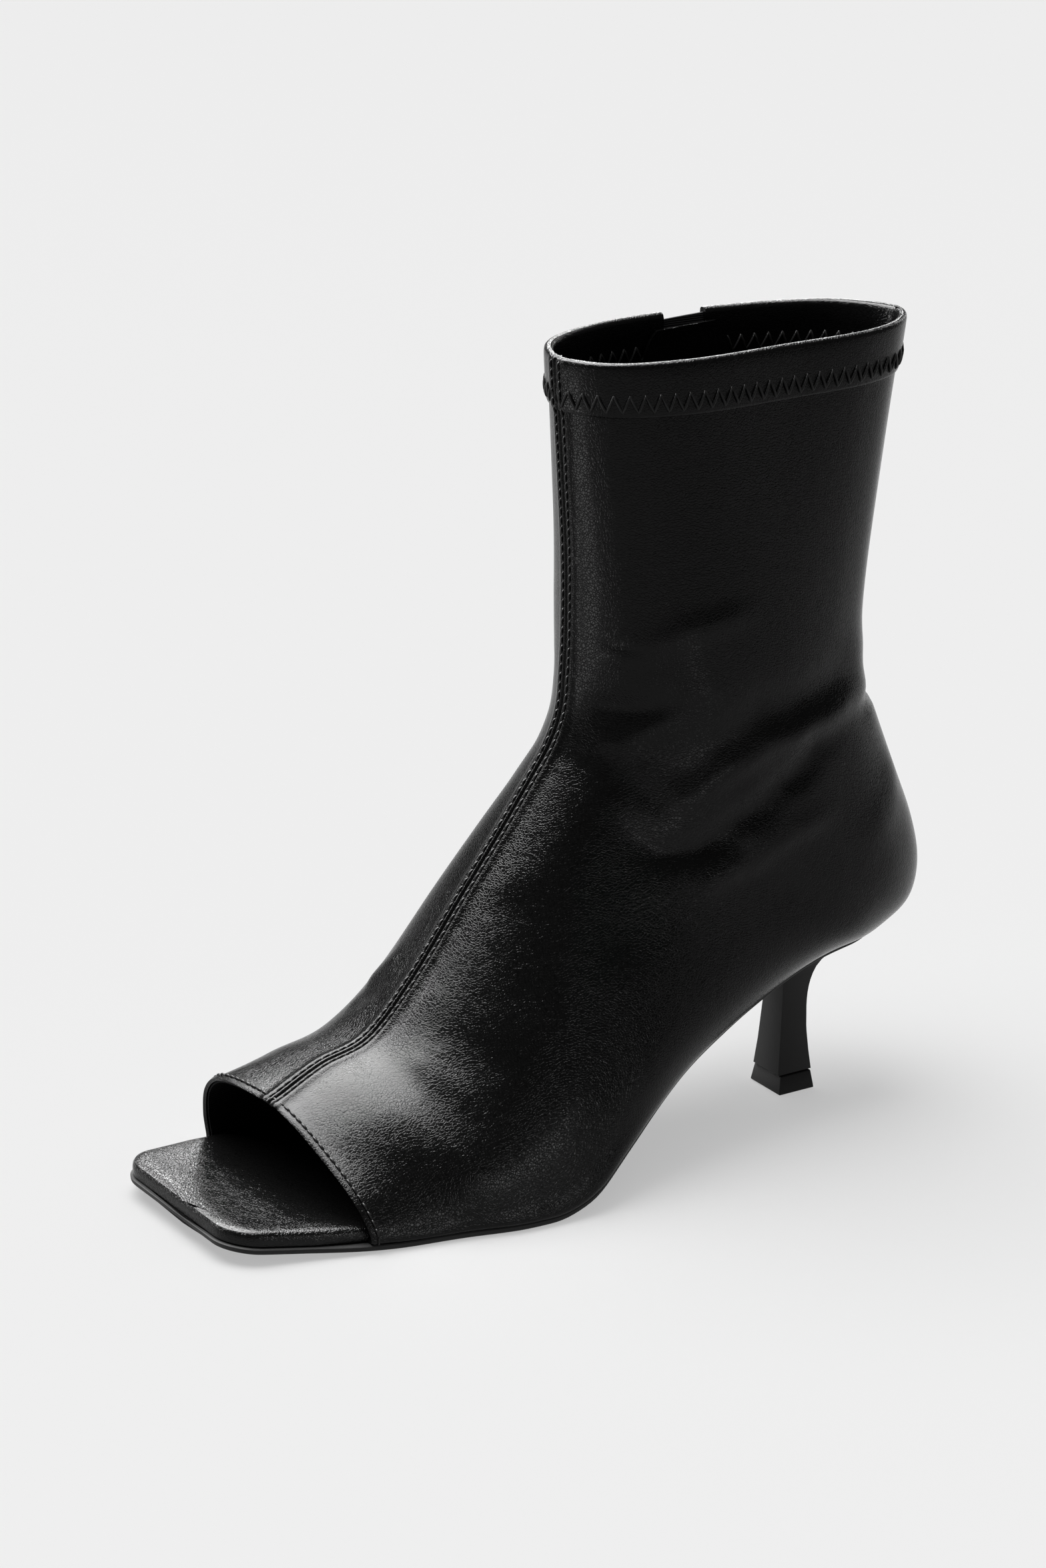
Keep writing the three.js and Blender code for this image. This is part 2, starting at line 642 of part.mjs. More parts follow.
function makeHeel() {
  const foot = liftHeight + gap;
  const rise = undersideZ(0, 0) - gap - foot;
  const foothold = (liftWidth / 2 - liftFlare - heelLedge) / (liftWidth * heelForm[0].half);
  const rings = [];
  for (let s = 0; s <= heelSteps; s += 1) {
    const top = heelForm[heelForm.length - 1].height;
    const place = (s / heelSteps) * top;
    const half = read(heelForm, "height", place, (row) => row.half) * liftWidth * foothold;
    const front = -read(heelForm, "height", place, (row) => row.front) * liftLength;
    const back = read(heelForm, "height", place, (row) => row.back) * liftLength;
    const z = foot + place * rise;
    rings.push([[-half, front], [half, front], [half, back], [-half, back]].map(([x, y]) =>
      new THREE.Vector3(x, y, z)));
  }
  return loft(rings).subtract(soleBlock(-gap, rimHeight));
}

function makeTopLift() {
  const ring = (inset, z) => {
    const x = liftWidth / 2 - inset;
    const y = liftLength / 2 - inset;
    return [[-x, -y], [x, -y], [x, y], [-x, y]].map(([a, b]) => new THREE.Vector3(a, b, z));
  };
  return loft([ring(0, 0), ring(liftFlare, liftHeight)]);
}

// Zip tape with its coil down the middle, sunk in the slot of the upper.
function makeZip() {
  const tape = skinLayer(-tapeSunk, -tapeSunk - tapeThickness)
    .intersect(zipPrism((half) => half - gap, aboveRim));
  const coil = skinLayer(chainHeight - tapeSunk, -tapeSunk - tapeThickness / 2)
    .intersect(zipPrism((half) => Math.min(chainWidth / 2, half - gap), rimHeight - chainDrop));
  return tape.add(coil);
}

// Flap inside the boot that backs the zip.
function makePlacket() {
  const outer = -upperWall - gap;
  return skinLayer(outer, outer - placketThickness)
    .intersect(zipPrism(() => placketWidth / 2, rimHeight - placketDrop))
    .subtract(soleBlock(outsoleThickness + footbedThickness + placketClear, -rimHeight));
}

// Frame on the leather's face at the slider: x across the zip, y down it, z out of the leather.
function sliderFrame(skin) {
  const mesh = new THREE.Mesh(skin);
  const hit = (y, z) => {
    const from = new THREE.Vector3(-2 * ballWidth, y, z);
    const found = new THREE.Raycaster(from, new THREE.Vector3(1, 0, 0)).intersectObject(mesh);
    return found[0].point;
  };
  let v = 0;
  while (zipAt(v).middle.y > rimHeight - sliderDrop) v += zipStep / 10;
  const { middle, heading } = zipAt(v);
  const at = (down, side) => hit(
    middle.x + heading.x * down + heading.y * side,
    middle.y + heading.y * down - heading.x * side,
  );
  const down = at(sliderLength / 2, 0).sub(at(-sliderLength / 2, 0)).normalize();
  const side = at(0, chainWidth).sub(at(0, -chainWidth)).normalize();
  const out = new THREE.Vector3().crossVectors(side, down).normalize();
  if (out.x > 0) out.negate();
  const across = new THREE.Vector3().crossVectors(down, out);
  return new THREE.Matrix4().makeBasis(across, down, out).setPosition(at(0, 0));
}

// Plate with cut corners in the slider's frame, from height low to high.
function cutPlate(halfWidth, from, to, cut, low, high, hole) {
  const outline = new THREE.Shape([
    new THREE.Vector2(-halfWidth + cut, from),
    new THREE.Vector2(halfWidth - cut, from),
    new THREE.Vector2(halfWidth, from + cut),
    new THREE.Vector2(halfWidth, to - cut),
    new THREE.Vector2(halfWidth - cut, to),
    new THREE.Vector2(-halfWidth + cut, to),
    new THREE.Vector2(-halfWidth, to - cut),
    new THREE.Vector2(-halfWidth, from + cut),
  ]);
  if (hole) outline.holes.push(hole);
  const geometry = new THREE.ExtrudeGeometry(outline, { depth: high - low, bevelEnabled: false });
  geometry.translate(0, 0, low);
  return solid(geometry);
}

const coilTop = chainHeight - tapeSunk;
const plateTop = coilTop + gap + sliderPlate;
const pivotLift = plateTop + bridgeHollow / 2;

function makeSlider() {
  const halfWidth = chainWidth / 2 + gap + sliderRail;
  const plateLow = coilTop + gap;
  const plateSolid = cutPlate(halfWidth, -sliderLength / 2, sliderLength / 2, sliderCut, plateLow, plateTop);
  const rail = (side) => {
    const inner = side * (chainWidth / 2 + gap);
    const outer = side * halfWidth;
    const low = new THREE.Vector3(Math.min(inner, outer), -sliderLength / 2 + sliderCut, gap - tapeSunk);
    return box(low, new THREE.Vector3(Math.max(inner, outer), sliderLength / 2 - sliderCut, plateTop));
  };
  const arch = new THREE.Shape();
  const rise = bridgeHollow + bridgeBar;
  arch.absellipse(0, 0, bridgeLength / 2 + bridgeBar, rise, 0, Math.PI, false);
  arch.lineTo(-bridgeLength / 2, 0);
  arch.absellipse(0, 0, bridgeLength / 2, bridgeHollow, Math.PI, 0, true);
  arch.closePath();
  const geometry = new THREE.ExtrudeGeometry(arch, {
    depth: bridgeWidth,
    bevelEnabled: false,
    curveSegments: archSteps,
  });
  geometry.applyMatrix4(new THREE.Matrix4().makeBasis(
    new THREE.Vector3(0, 1, 0),
    new THREE.Vector3(0, 0, 1),
    new THREE.Vector3(1, 0, 0),
  ));
  geometry.translate(-bridgeWidth / 2, 0, plateTop - bridgeSink);
  return plateSolid.add(rail(-1)).add(rail(1)).add(solid(geometry));
}

// Pull tab, with its top bar on the axis that it swings about.
function makePull() {
  const hole = new THREE.Path();
  const [x, top, foot] = [pullSlotWidth / 2, pullBar / 2, pullBar / 2 + pullSlotLength];
  hole.moveTo(-x, top);
  hole.lineTo(-x, foot);
  hole.lineTo(x, foot);
  hole.lineTo(x, top);
  hole.closePath();
  const half = pullThickness / 2;
  return cutPlate(pullWidth / 2, -pullBar / 2, pullLength - pullBar / 2, pullCut, -half, half, hole);
}

// Geometry of a solid, for a mesh.
function geometryOf(manifold) {
  const { vertProperties, triVerts } = manifold.getMesh();
  const geometry = new THREE.BufferGeometry();
  geometry.setAttribute("position", new THREE.BufferAttribute(new Float32Array(vertProperties), 3));
  geometry.setIndex(new THREE.BufferAttribute(new Uint32Array(triVerts), 1));
  geometry.computeVertexNormals();
  return geometry;
}

function addPiece(group, name, manifold, look) {
  const mesh = new THREE.Mesh(geometryOf(manifold), new THREE.MeshStandardMaterial(look));
  mesh.name = name;
  group.add(mesh);
  return mesh;
}

function makeBoot() {
  const boot = new THREE.Group();
  addPiece(boot, "upper", makeUpper(), leather);
  addPiece(boot, "footbed", makeFootbed(), leather);
  addPiece(boot, "outsole", makeOutsole(), rubber);
  addPiece(boot, "heel", makeHeel(), leather);
  addPiece(boot, "top_lift", makeTopLift(), rubber);
  addPiece(boot, "zip_tape", makeZip(), { ...rubber, roughness: 0.6 });
  addPiece(boot, "zip_placket", makePlacket(), leather);

  const fastener = new THREE.Group();
  sliderFrame(geometryOf(form(0, 0))).decompose(fastener.position, fastener.quaternion, fastener.scale);
  addPiece(fastener, "zip_slider", makeSlider(), metal);
  addPiece(fastener, "zip_pull", makePull(), metal).position.z = pivotLift;
  boot.add(fastener);

  const middle = new THREE.Box3().setFromObject(boot).getCenter(new THREE.Vector3());
  boot.position.set(-middle.x, -middle.y, 0);
  return boot;
}

export default makeBoot();
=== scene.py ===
import math

import bpy
from mathutils import Matrix, Vector
from mathutils.bvhtree import BVHTree


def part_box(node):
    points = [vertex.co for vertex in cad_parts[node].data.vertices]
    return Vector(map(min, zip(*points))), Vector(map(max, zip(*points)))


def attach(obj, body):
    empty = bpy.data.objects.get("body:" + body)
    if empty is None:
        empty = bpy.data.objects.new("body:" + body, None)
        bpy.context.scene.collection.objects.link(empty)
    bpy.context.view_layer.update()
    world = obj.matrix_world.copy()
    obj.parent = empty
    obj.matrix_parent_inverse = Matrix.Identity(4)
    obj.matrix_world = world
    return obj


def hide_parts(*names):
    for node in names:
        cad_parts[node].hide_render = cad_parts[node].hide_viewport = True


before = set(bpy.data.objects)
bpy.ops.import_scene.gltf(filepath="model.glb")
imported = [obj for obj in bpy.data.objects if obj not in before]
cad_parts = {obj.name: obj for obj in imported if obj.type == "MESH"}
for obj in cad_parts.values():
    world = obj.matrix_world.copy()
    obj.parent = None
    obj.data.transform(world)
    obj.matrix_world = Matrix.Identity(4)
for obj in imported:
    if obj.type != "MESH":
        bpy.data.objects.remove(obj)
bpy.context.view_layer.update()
print("frame loaded")

mm = 0.001
liftLow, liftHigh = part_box("top_lift")
# middle of the heel's foot, on the floor
heelFoot = Vector(((liftLow[0] + liftHigh[0]) / 2, (liftLow[1] + liftHigh[1]) / 2, 0))

# Camera and light

cameraView = {
    "place": (1020.1, -761.2, 559.8),  # mm from the middle of the heel's foot
    "yaw": 56.57,
    "pitch": 20.40,
    "roll": 0.96,
    "lens": 114.6,
    "sensor": 36,
}
lamps = [
    {"name": "floor_card", "at": (-0.05, -0.47, 0.012), "to": (-0.05, -0.47, 1), "size": (0.12, 0.45),
     "glow": 5, "spread": 180},
    {"name": "left_strip", "at": (-0.75, -1.0, 0.6), "to": (0, -0.02, 0.1), "size": (0.14, 0.8),
     "glow": 16, "spread": 90},
    {"name": "back_strip", "at": (-0.5, 1.1, 0.6), "to": (0, 0.05, 0.12), "size": (0.12, 0.8),
     "glow": 5, "spread": 90},
    {"name": "far_card", "at": (-1.14, 0.74, 0.66), "to": (0, -0.1, 0.02), "size": (0.42, 0.3),
     "glow": 9, "spread": 60},
    {"name": "side_card", "at": (0.275, -0.02, 0.04), "to": (0.04, -0.11, 0.01), "size": (0.14, 0.05),
     "glow": 4, "spread": 90},
]
# Even overhead softboxes: one for the boot, one for the floor with its shadow, and one that fills the floor.
ceilings = [
    {"name": "boot_ceiling", "from": (-0.36, -0.1, 1.0), "angle": 66, "strength": 34.0, "shadow": True,
     "on": "boot"},
    {"name": "floor_ceiling", "from": (-0.25, -0.15, 1.0), "angle": 50, "strength": 0.95, "shadow": True,
     "on": "floor"},
    {"name": "floor_fill", "from": (0, 0, 1.0), "angle": 60, "strength": 1.68, "shadow": False,
     "on": "floor"},
]
room = {"colour": (0.93, 0.93, 0.93, 1), "strength": 0.16}
# what each lamp lights, so that the boot's lamps leave no patches on the floor
receivers = {"boot": bpy.data.collections.new("boot_lit"), "floor": bpy.data.collections.new("floor_lit")}


def addCamera(settings):
    yaw, pitch, roll = (math.radians(settings[key]) for key in ("yaw", "pitch", "roll"))
    back = Vector((math.sin(yaw) * math.cos(pitch), -math.cos(yaw) * math.cos(pitch), math.sin(pitch)))
    right = (-back).cross(Vector((0, 0, 1))).normalized()
    up = right.cross(-back)
    across = math.cos(roll) * right + math.sin(roll) * up
    over = -math.sin(roll) * right + math.cos(roll) * up
    data = bpy.data.cameras.new("camera")
    data.lens = settings["lens"]
    data.sensor_width = settings["sensor"]
    data.clip_start = 0.05
    camera = bpy.data.objects.new("camera", data)
    bpy.context.scene.collection.objects.link(camera)
    turn = Matrix((across, over, back)).transposed().to_4x4()
    camera.matrix_world = Matrix.Translation(heelFoot + Vector(settings["place"]) * mm) @ turn
    bpy.context.scene.camera = camera


def addLight(row):
    data = bpy.data.lights.new(row["name"], "AREA")
    data.shape = "RECTANGLE"
    data.size, data.size_y = row["size"]
    data.spread = math.radians(row["spread"])
    share = math.sin(data.spread / 2) ** 2  # of a plain panel's light, at the same brightness
    data.energy = math.pi * data.size * data.size_y * row["glow"] * share
    light = bpy.data.objects.new(row["name"], data)
    bpy.context.scene.collection.objects.link(light)
    light.location = row["at"]
    light.rotation_euler = (Vector(row["at"]) - Vector(row["to"])).to_track_quat("Z", "Y").to_euler()
    light.visible_camera = False
    light.light_linking.receiver_collection = receivers["boot"]


def addCeiling(row):
    data = bpy.data.lights.new(row["name"], "SUN")
    data.angle = math.radians(row["angle"])
    data.energy = row["strength"]
    data.use_shadow = row["shadow"]
    light = bpy.data.objects.new(row["name"], data)
    bpy.context.scene.collection.objects.link(light)
    light.rotation_euler = Vector(row["from"]).to_track_quat("Z", "Y").to_euler()
    light.light_linking.receiver_collection = receivers[row["on"]]


def addWorld(settings):
    world = bpy.data.worlds.new("studio")
    world.use_nodes = True
    background = world.node_tree.nodes["Background"]
    background.inputs["Color"].default_value = settings["colour"]
    background.inputs["Strength"].default_value = settings["strength"]
    bpy.context.scene.world = world


addCamera(cameraView)
for row in lamps:
    addLight(row)
for row in ceilings:
    addCeiling(row)
addWorld(room)
print("camera and lights done")

# Materials


def linear(hexText):
    channels = [int(hexText[i : i + 2], 16) / 255 for i in (1, 3, 5)]
    return tuple(c / 12.92 if c <= 0.04045 else ((c + 0.055) / 1.055) ** 2.4 for c in channels) + (1.0,)


def addNode(tree, kind, settings=None, values=None, links=None, stops=()):
    node = tree.nodes.new(kind)
    for key, value in (settings or {}).items():
        setattr(node, key, value)
    for key, value in (values or {}).items():
        node.inputs[key].default_value = value
    for key, socket in (links or {}).items():
        tree.links.new(socket, node.inputs[key])
    for n, (position, colour) in enumerate(stops):
        element = node.color_ramp.elements[n]
        element.position, element.color = position, colour
    return node


def newMaterial(name, values):
    material = bpy.data.materials.new(name)
    material.use_nodes = True
    tree = material.node_tree
    shader = tree.nodes["Principled BSDF"]
    for key, value in values.items():
        shader.inputs[key].default_value = value
    return material, tree, shader, addNode(tree, "ShaderNodeTexCoord").outputs["Object"]


# Two grey stops of a colour ramp.
def greys(start, first, end, last):
    return [(start, (first,) * 3 + (1,)), (end, (last,) * 3 + (1,))]


# Gives a shader its bump from one pattern and its colour from another, between the colour's low and high.
def dress(tree, shader, height, strength, distance, factor, colour, low):
    bump = addNode(tree, "ShaderNodeBump", values={"Strength": strength, "Distance": distance},
                   links={"Height": height})
    tree.links.new(bump.outputs["Normal"], shader.inputs["Normal"])
    stops = [(low, linear(colour["low"])), (1 - low, linear(colour["high"]))]
    tint = addNode(tree, "ShaderNodeValToRGB", links={"Fac": factor}, stops=stops)
    tree.links.new(tint.outputs["Color"], shader.inputs["Base Color"])


# Polyurethane-coated stretch leather: a smooth black film over knitted cloth, embossed with a fine pebble
# grain about 0.7 mm across and wrinkled in 1.5 mm cells where it flexes, so its sheen breaks up at the folds.
def stretchLeather(name, colour, roughness, gloss, grain, wrinkle):
    material, tree, shader, place = newMaterial(name, {
        "Roughness": roughness,
        "IOR": 1.5,
        "Specular IOR Level": gloss,
    })
    warp = addNode(tree, "ShaderNodeTexNoise", values={"Scale": 260, "Detail": 2}, links={"Vector": place})
    warped = addNode(tree, "ShaderNodeVectorMath", {"operation": "MULTIPLY_ADD"},
                     {1: (0.0016, 0.0016, 0.0016)}, {0: warp.outputs["Color"], 2: place}).outputs[0]
    pebble = addNode(tree, "ShaderNodeTexVoronoi", {"feature": "DISTANCE_TO_EDGE"}, {"Scale": 1400.0},
                     {"Vector": warped}).outputs["Distance"]
    cells = addNode(tree, "ShaderNodeTexVoronoi", {"feature": "DISTANCE_TO_EDGE"}, {"Scale": 640.0},
                    {"Vector": warped}).outputs["Distance"]
    flex = addNode(tree, "ShaderNodeTexNoise", values={"Scale": 34.0, "Detail": 3.0, "Roughness": 0.55},
                   links={"Vector": place}).outputs["Fac"]
    where = addNode(tree, "ShaderNodeValToRGB", links={"Fac": flex}, stops=greys(0.4, 0.3, 0.65, 1))
    pits = addNode(tree, "ShaderNodeValToRGB", links={"Fac": pebble}, stops=greys(0, 0, 0.14, 1))
    lines = addNode(tree, "ShaderNodeValToRGB", links={"Fac": cells}, stops=greys(0, 0, 0.1, 1))
    deep = addNode(tree, "ShaderNodeMath", {"operation": "MULTIPLY"},
                   links={0: lines.outputs["Color"], 1: where.outputs["Color"]}).outputs[0]
    first = addNode(tree, "ShaderNodeBump", values={"Strength": grain, "Distance": 0.00012},
                    links={"Height": pits.outputs["Color"]})
    second = addNode(tree, "ShaderNodeBump", values={"Strength": wrinkle, "Distance": 0.0002},
                     links={"Height": deep, "Normal": first.outputs["Normal"]})
    soft = addNode(tree, "ShaderNodeTexNoise", values={"Scale": 120, "Detail": 4}, links={"Vector": place})
    third = addNode(tree, "ShaderNodeBump", values={"Strength": 0.16, "Distance": 0.0006},
                    links={"Height": soft.outputs["Fac"], "Normal": second.outputs["Normal"]})
    tree.links.new(third.outputs["Normal"], shader.inputs["Normal"])
    sheen = addNode(tree, "ShaderNodeValToRGB", links={"Fac": flex},
                    stops=greys(0.3, roughness - 0.03, 0.75, roughness + 0.04))
    tree.links.new(sheen.outputs["Color"], shader.inputs["Roughness"])
    tint = addNode(tree, "ShaderNodeValToRGB", links={"Fac": pits.outputs["Color"]},
                   stops=[(0, linear(colour["low"])), (1, linear(colour["high"]))])
    tree.links.new(tint.outputs["Color"], shader.inputs["Base Color"])
    return material


# Injection-moulded thermoplastic rubber: matt, with a faint mould grain 0.5 mm across and no mirror images.
def mouldedRubber(name, colour, roughness):
    material, tree, shader, place = newMaterial(name, {"Roughness": roughness, "Specular IOR Level": 0.2})
    grain = addNode(tree, "ShaderNodeTexNoise", values={"Scale": 2000, "Detail": 3}, links={"Vector": place})
    patch = addNode(tree, "ShaderNodeTexNoise", values={"Scale": 45, "Detail": 3}, links={"Vector": place})
    dress(tree, shader, grain.outputs["Fac"], 0.3, 0.0001, patch.outputs["Fac"], colour, 0.3)
    return material


# ABS heel block sprayed with black satin lacquer: smooth, with a slight orange peel about 1.5 mm across.
def lacqueredBlock(name, colour, roughness):
    material, tree, shader, place = newMaterial(name, {"Roughness": roughness, "Specular IOR Level": 0.15})
    peel = addNode(tree, "ShaderNodeTexNoise", values={"Scale": 650, "Detail": 2}, links={"Vector": place})
    patch = addNode(tree, "ShaderNodeTexNoise", values={"Scale": 60, "Detail": 3}, links={"Vector": place})
    dress(tree, shader, peel.outputs["Fac"], 0.12, 0.0002, patch.outputs["Fac"], colour, 0.3)
    return material


wavePeriod = 0.314  # m between the bands of a wave texture at scale 1


# Knitted polyester lining and woven zip tape: dull, with ribs at the thread's spacing.
def ribbedCloth(name, colour, spacing, direction):
    material, tree, shader, place = newMaterial(name, {"Roughness": 0.85, "Specular IOR Level": 0.1})
    ribs = addNode(tree, "ShaderNodeTexWave", {"bands_direction": direction},
                   {"Scale": wavePeriod / (spacing * mm), "Distortion": 1.2, "Detail": 2}, {"Vector": place})
    dress(tree, shader, ribs.outputs["Fac"], 0.5, 0.00015, ribs.outputs["Fac"], colour, 0.2)
    return material


# Bonded polyester sewing thread, twisted, slightly shiny; nylon monofilament for the zip's coil.
def twistedThread(name, colour, roughness, twist):
    material, tree, shader, place = newMaterial(name, {"Roughness": roughness, "Specular IOR Level": 0.15})
    ply = addNode(tree, "ShaderNodeTexWave", {"bands_direction": "DIAGONAL"},
                  {"Scale": wavePeriod / (twist * mm), "Distortion": 0.4}, {"Vector": place})
    dress(tree, shader, ply.outputs["Fac"], 0.35, 0.00008, ply.outputs["Fac"], colour, 0.2)
    return material


# Die-cast zinc slider and pull under black lacquer: hard, with clear highlights and a fine cast ripple.
def lacqueredMetal(name, colour, roughness):
    material, tree, shader, place = newMaterial(name, {"Roughness": roughness, "Metallic": 0.85})
    ripple = addNode(tree, "ShaderNodeTexNoise", values={"Scale": 900, "Detail": 3}, links={"Vector": place})
    dress(tree, shader, ripple.outputs["Fac"], 0.1, 0.0001, ripple.outputs["Fac"], colour, 0.3)
    return material


materials = {
    "leather": stretchLeather("polyurethane_stretch_leather", {"low": "#010101", "high": "#030303"},
                              0.19, 0.11, 0.3, 0.16),
    "footbed": stretchLeather("polyurethane_footbed_leather", {"low": "#010101", "high": "#030303"},
                              0.18, 0.16, 0.32, 0.2),
    "rubber": mouldedRubber("moulded_tpr_rubber", {"low": "#0e0e0e", "high": "#141414"}, 0.62),
    "block": lacqueredBlock("lacquered_abs_block", {"low": "#131313", "high": "#181818"}, 0.4),
    "lining": ribbedCloth("knitted_polyester_lining", {"low": "#070708", "high": "#0e0e0f"}, 0.8, "Z"),
    "tape": ribbedCloth("woven_polyester_tape", {"low": "#0a0a0b", "high": "#151516"}, 0.6, "Z"),
    "thread": twistedThread("bonded_polyester_thread", {"low": "#060606", "high": "#0c0c0c"}, 0.38, 0.5),
    "coil": twistedThread("nylon_coil_filament", {"low": "#101011", "high": "#1b1b1d"}, 0.35, 0.9),
    "metal": lacqueredMetal("black_lacquered_zinc", {"low": "#131314", "high": "#1b1b1c"}, 0.3),
}
print("materials done")

# The boot's form, from the same shares as the CAD upper, so that leather, thread and zip all lie on it. mm.

form = {
    "toeReach": 190.5, "heelReach": 37.9, "rimHeight": 219.0, "ballWidth": 85.0, "seatHeight": 45.0,
    "toeSpring": 4.0, "outsole": 1.8, "footbed": 4.2, "gap": 0.3, "overhang": 0.4, "toeCorner": 9.0,
    "seatReach": 0.7, "seatRound": 0.62,
    # along, rise, spring, tilt
    "soleLine": [
        (-0.3, 1.01, 0, 0), (-0.14, 1.0, 0, 0), (0, 0.955, 0, 0.02), (0.07, 0.91, 0, 0.06),
        (0.14, 0.845, 0, 0.1), (0.21, 0.765, 0, 0.13), (0.3, 0.625, 0, 0.13), (0.37, 0.46, 0, 0.09),
        (0.43, 0.27, 0, 0.05), (0.48, 0.11, 0, 0.03), (0.52, 0.025, 0, 0.01), (0.55, 0, 0, 0),
        (0.74, 0, 0, 0), (0.82, 0, 0.15, 0), (0.91, 0, 0.52, 0), (1.0, 0, 1, 0),
    ],
    # along, outer, inner
    "solePlan": [
        (-0.15, 0.15, 0.15), (-0.08, 0.168, 0.165), (0.0, 0.19, 0.185), (0.1, 0.235, 0.2),
        (0.2, 0.289, 0.225), (0.3, 0.36, 0.26), (0.4, 0.455, 0.315), (0.49, 0.51, 0.4),
        (0.58, 0.505, 0.465), (0.68, 0.455, 0.503), (0.8, 0.402, 0.49), (0.9, 0.335, 0.45),
        (1.0, 0.275, 0.405),
    ],
    # t, along, height, side
    "frontLine": [
        (0, 0.851, 0.133, -0.054), (0.1, 0.772, 0.168, -0.048), (0.2, 0.693, 0.192, -0.041),
        (0.28, 0.625, 0.256, -0.035), (0.36, 0.551, 0.345, -0.031), (0.43, 0.488, 0.42, -0.027),
        (0.49, 0.441, 0.479, -0.024), (0.54, 0.412, 0.518, -0.021), (0.6, 0.394, 0.559, -0.019),
        (0.67, 0.389, 0.605, -0.019), (0.77, 0.387, 0.671, -0.019), (0.86, 0.39, 0.767, -0.019),
        (0.93, 0.399, 0.872, -0.019), (1, 0.411, 1, -0.02),
    ],
    # t, along, tuck
    "underLine": [
        (0, 0.815, 8), (0.1, 0.714, 8), (0.2, 0.593, 8), (0.28, 0.483, 8), (0.36, 0.346, 8), (0.43, 0.2, 7),
        (0.49, 0.042, 5), (0.54, -0.09, 3),
    ],
    # t, reach, climb, side
    "backLine": [
        (0.575, 0.79, 0.005, 0), (0.6, 0.945, 0.035, 0), (0.63, 1.0, 0.09, 0.005), (0.67, 0.935, 0.165, 0.01),
        (0.72, 0.735, 0.272, 0.015), (0.77, 0.515, 0.39, 0.02), (0.81, 0.4, 0.471, 0.025),
        (0.86, 0.43, 0.58, 0.028), (0.93, 0.56, 0.775, 0.029), (1, 0.725, 1, 0.03),
    ],
    "levels": (0.065, 0.27, 0.6, 0.87),
    # t, skew, outer four, inner four
    "girths": [
        (0, 0.074, 0.095, 0.228, 0.381, 0.435, 0.295, 0.38, 0.427, 0.44),
        (0.1, 0.05, 0.13, 0.282, 0.406, 0.465, 0.215, 0.368, 0.46, 0.478),
        (0.2, 0.02, 0.155, 0.33, 0.48, 0.52, 0.212, 0.375, 0.462, 0.48),
        (0.28, 0, 0.165, 0.335, 0.485, 0.53, 0.21, 0.36, 0.43, 0.435),
        (0.36, 0, 0.16, 0.315, 0.44, 0.48, 0.2, 0.335, 0.39, 0.365),
        (0.43, 0, 0.16, 0.3, 0.395, 0.41, 0.19, 0.315, 0.355, 0.325),
        (0.49, 0, 0.16, 0.295, 0.36, 0.355, 0.18, 0.305, 0.335, 0.305),
        (0.54, 0, 0.16, 0.3, 0.35, 0.34, 0.18, 0.305, 0.335, 0.31),
        (0.6, 0, 0.165, 0.305, 0.353, 0.325, 0.18, 0.31, 0.34, 0.305),
        (0.67, 0, 0.165, 0.31, 0.34, 0.29, 0.178, 0.315, 0.34, 0.28),
        (0.77, 0, 0.165, 0.3, 0.32, 0.258, 0.176, 0.31, 0.33, 0.257),
        (0.86, 0, 0.155, 0.27, 0.285, 0.23, 0.172, 0.3, 0.312, 0.247),
        (1, 0, 0.139, 0.213, 0.205, 0.186, 0.168, 0.275, 0.289, 0.236),
    ],
    "backLevel": 0.93, "backWidth": 0.66, "underSide": 0.6,
    # along, height, wide: the middle of the zip
    "zipLine": [
        (0.13, 1.03, 1), (0.124, 0.905, 1), (0.127, 0.78, 1), (0.139, 0.66, 1), (0.157, 0.54, 1),
        (0.174, 0.43, 1), (0.194, 0.335, 0.98), (0.214, 0.265, 0.85), (0.238, 0.222, 0.5), (0.258, 0.2, 0.12),
    ],
    "slotWidth": 12.6,
}


def read(table, place, column):
    i = 0
    while i < len(table) - 2 and place > table[i + 1][0]:
        i += 1

    def slope(n):
        return (table[n + 1][column] - table[n][column]) / (table[n + 1][0] - table[n][0])

    def bend(n):
        if n == 0:
            return slope(0)
        if n == len(table) - 1:
            return slope(n - 1)
        before, after = slope(n - 1), slope(n)
        if before * after <= 0:
            return 0.0
        mean = (before + after) / 2
        return math.copysign(min(abs(mean), 3 * min(abs(before), abs(after))), mean)

    span = table[i + 1][0] - table[i][0]
    u = min(max((place - table[i][0]) / span, 0), 1)
    start, end = bend(i) * span, bend(i + 1) * span
    rise = table[i + 1][column] - table[i][column]
    return table[i][column] + u * (start + u * (3 * rise - 2 * start - end + u * (start + end - 2 * rise)))


def undersideZ(x, y):
    along = -y / form["toeReach"]
    rise, spring, tilt = (read(form["soleLine"], along, n) for n in (1, 2, 3))
    return rise * form["seatHeight"] + spring * form["toeSpring"] - x * tilt


def featherZ(x, y):
    return undersideZ(x, y) + form["outsole"]


# Outer (1) or inner (2) half width of the sole at y.
def soleHalf(y, column):
    return read(form["solePlan"], -y / form["toeReach"], column) * form["ballWidth"]


def frontPoint(t):
    along, height, side = (read(form["frontLine"], t, n) for n in (1, 2, 3))
    return Vector((side * form["ballWidth"], -along * form["toeReach"], height * form["rimHeight"]))


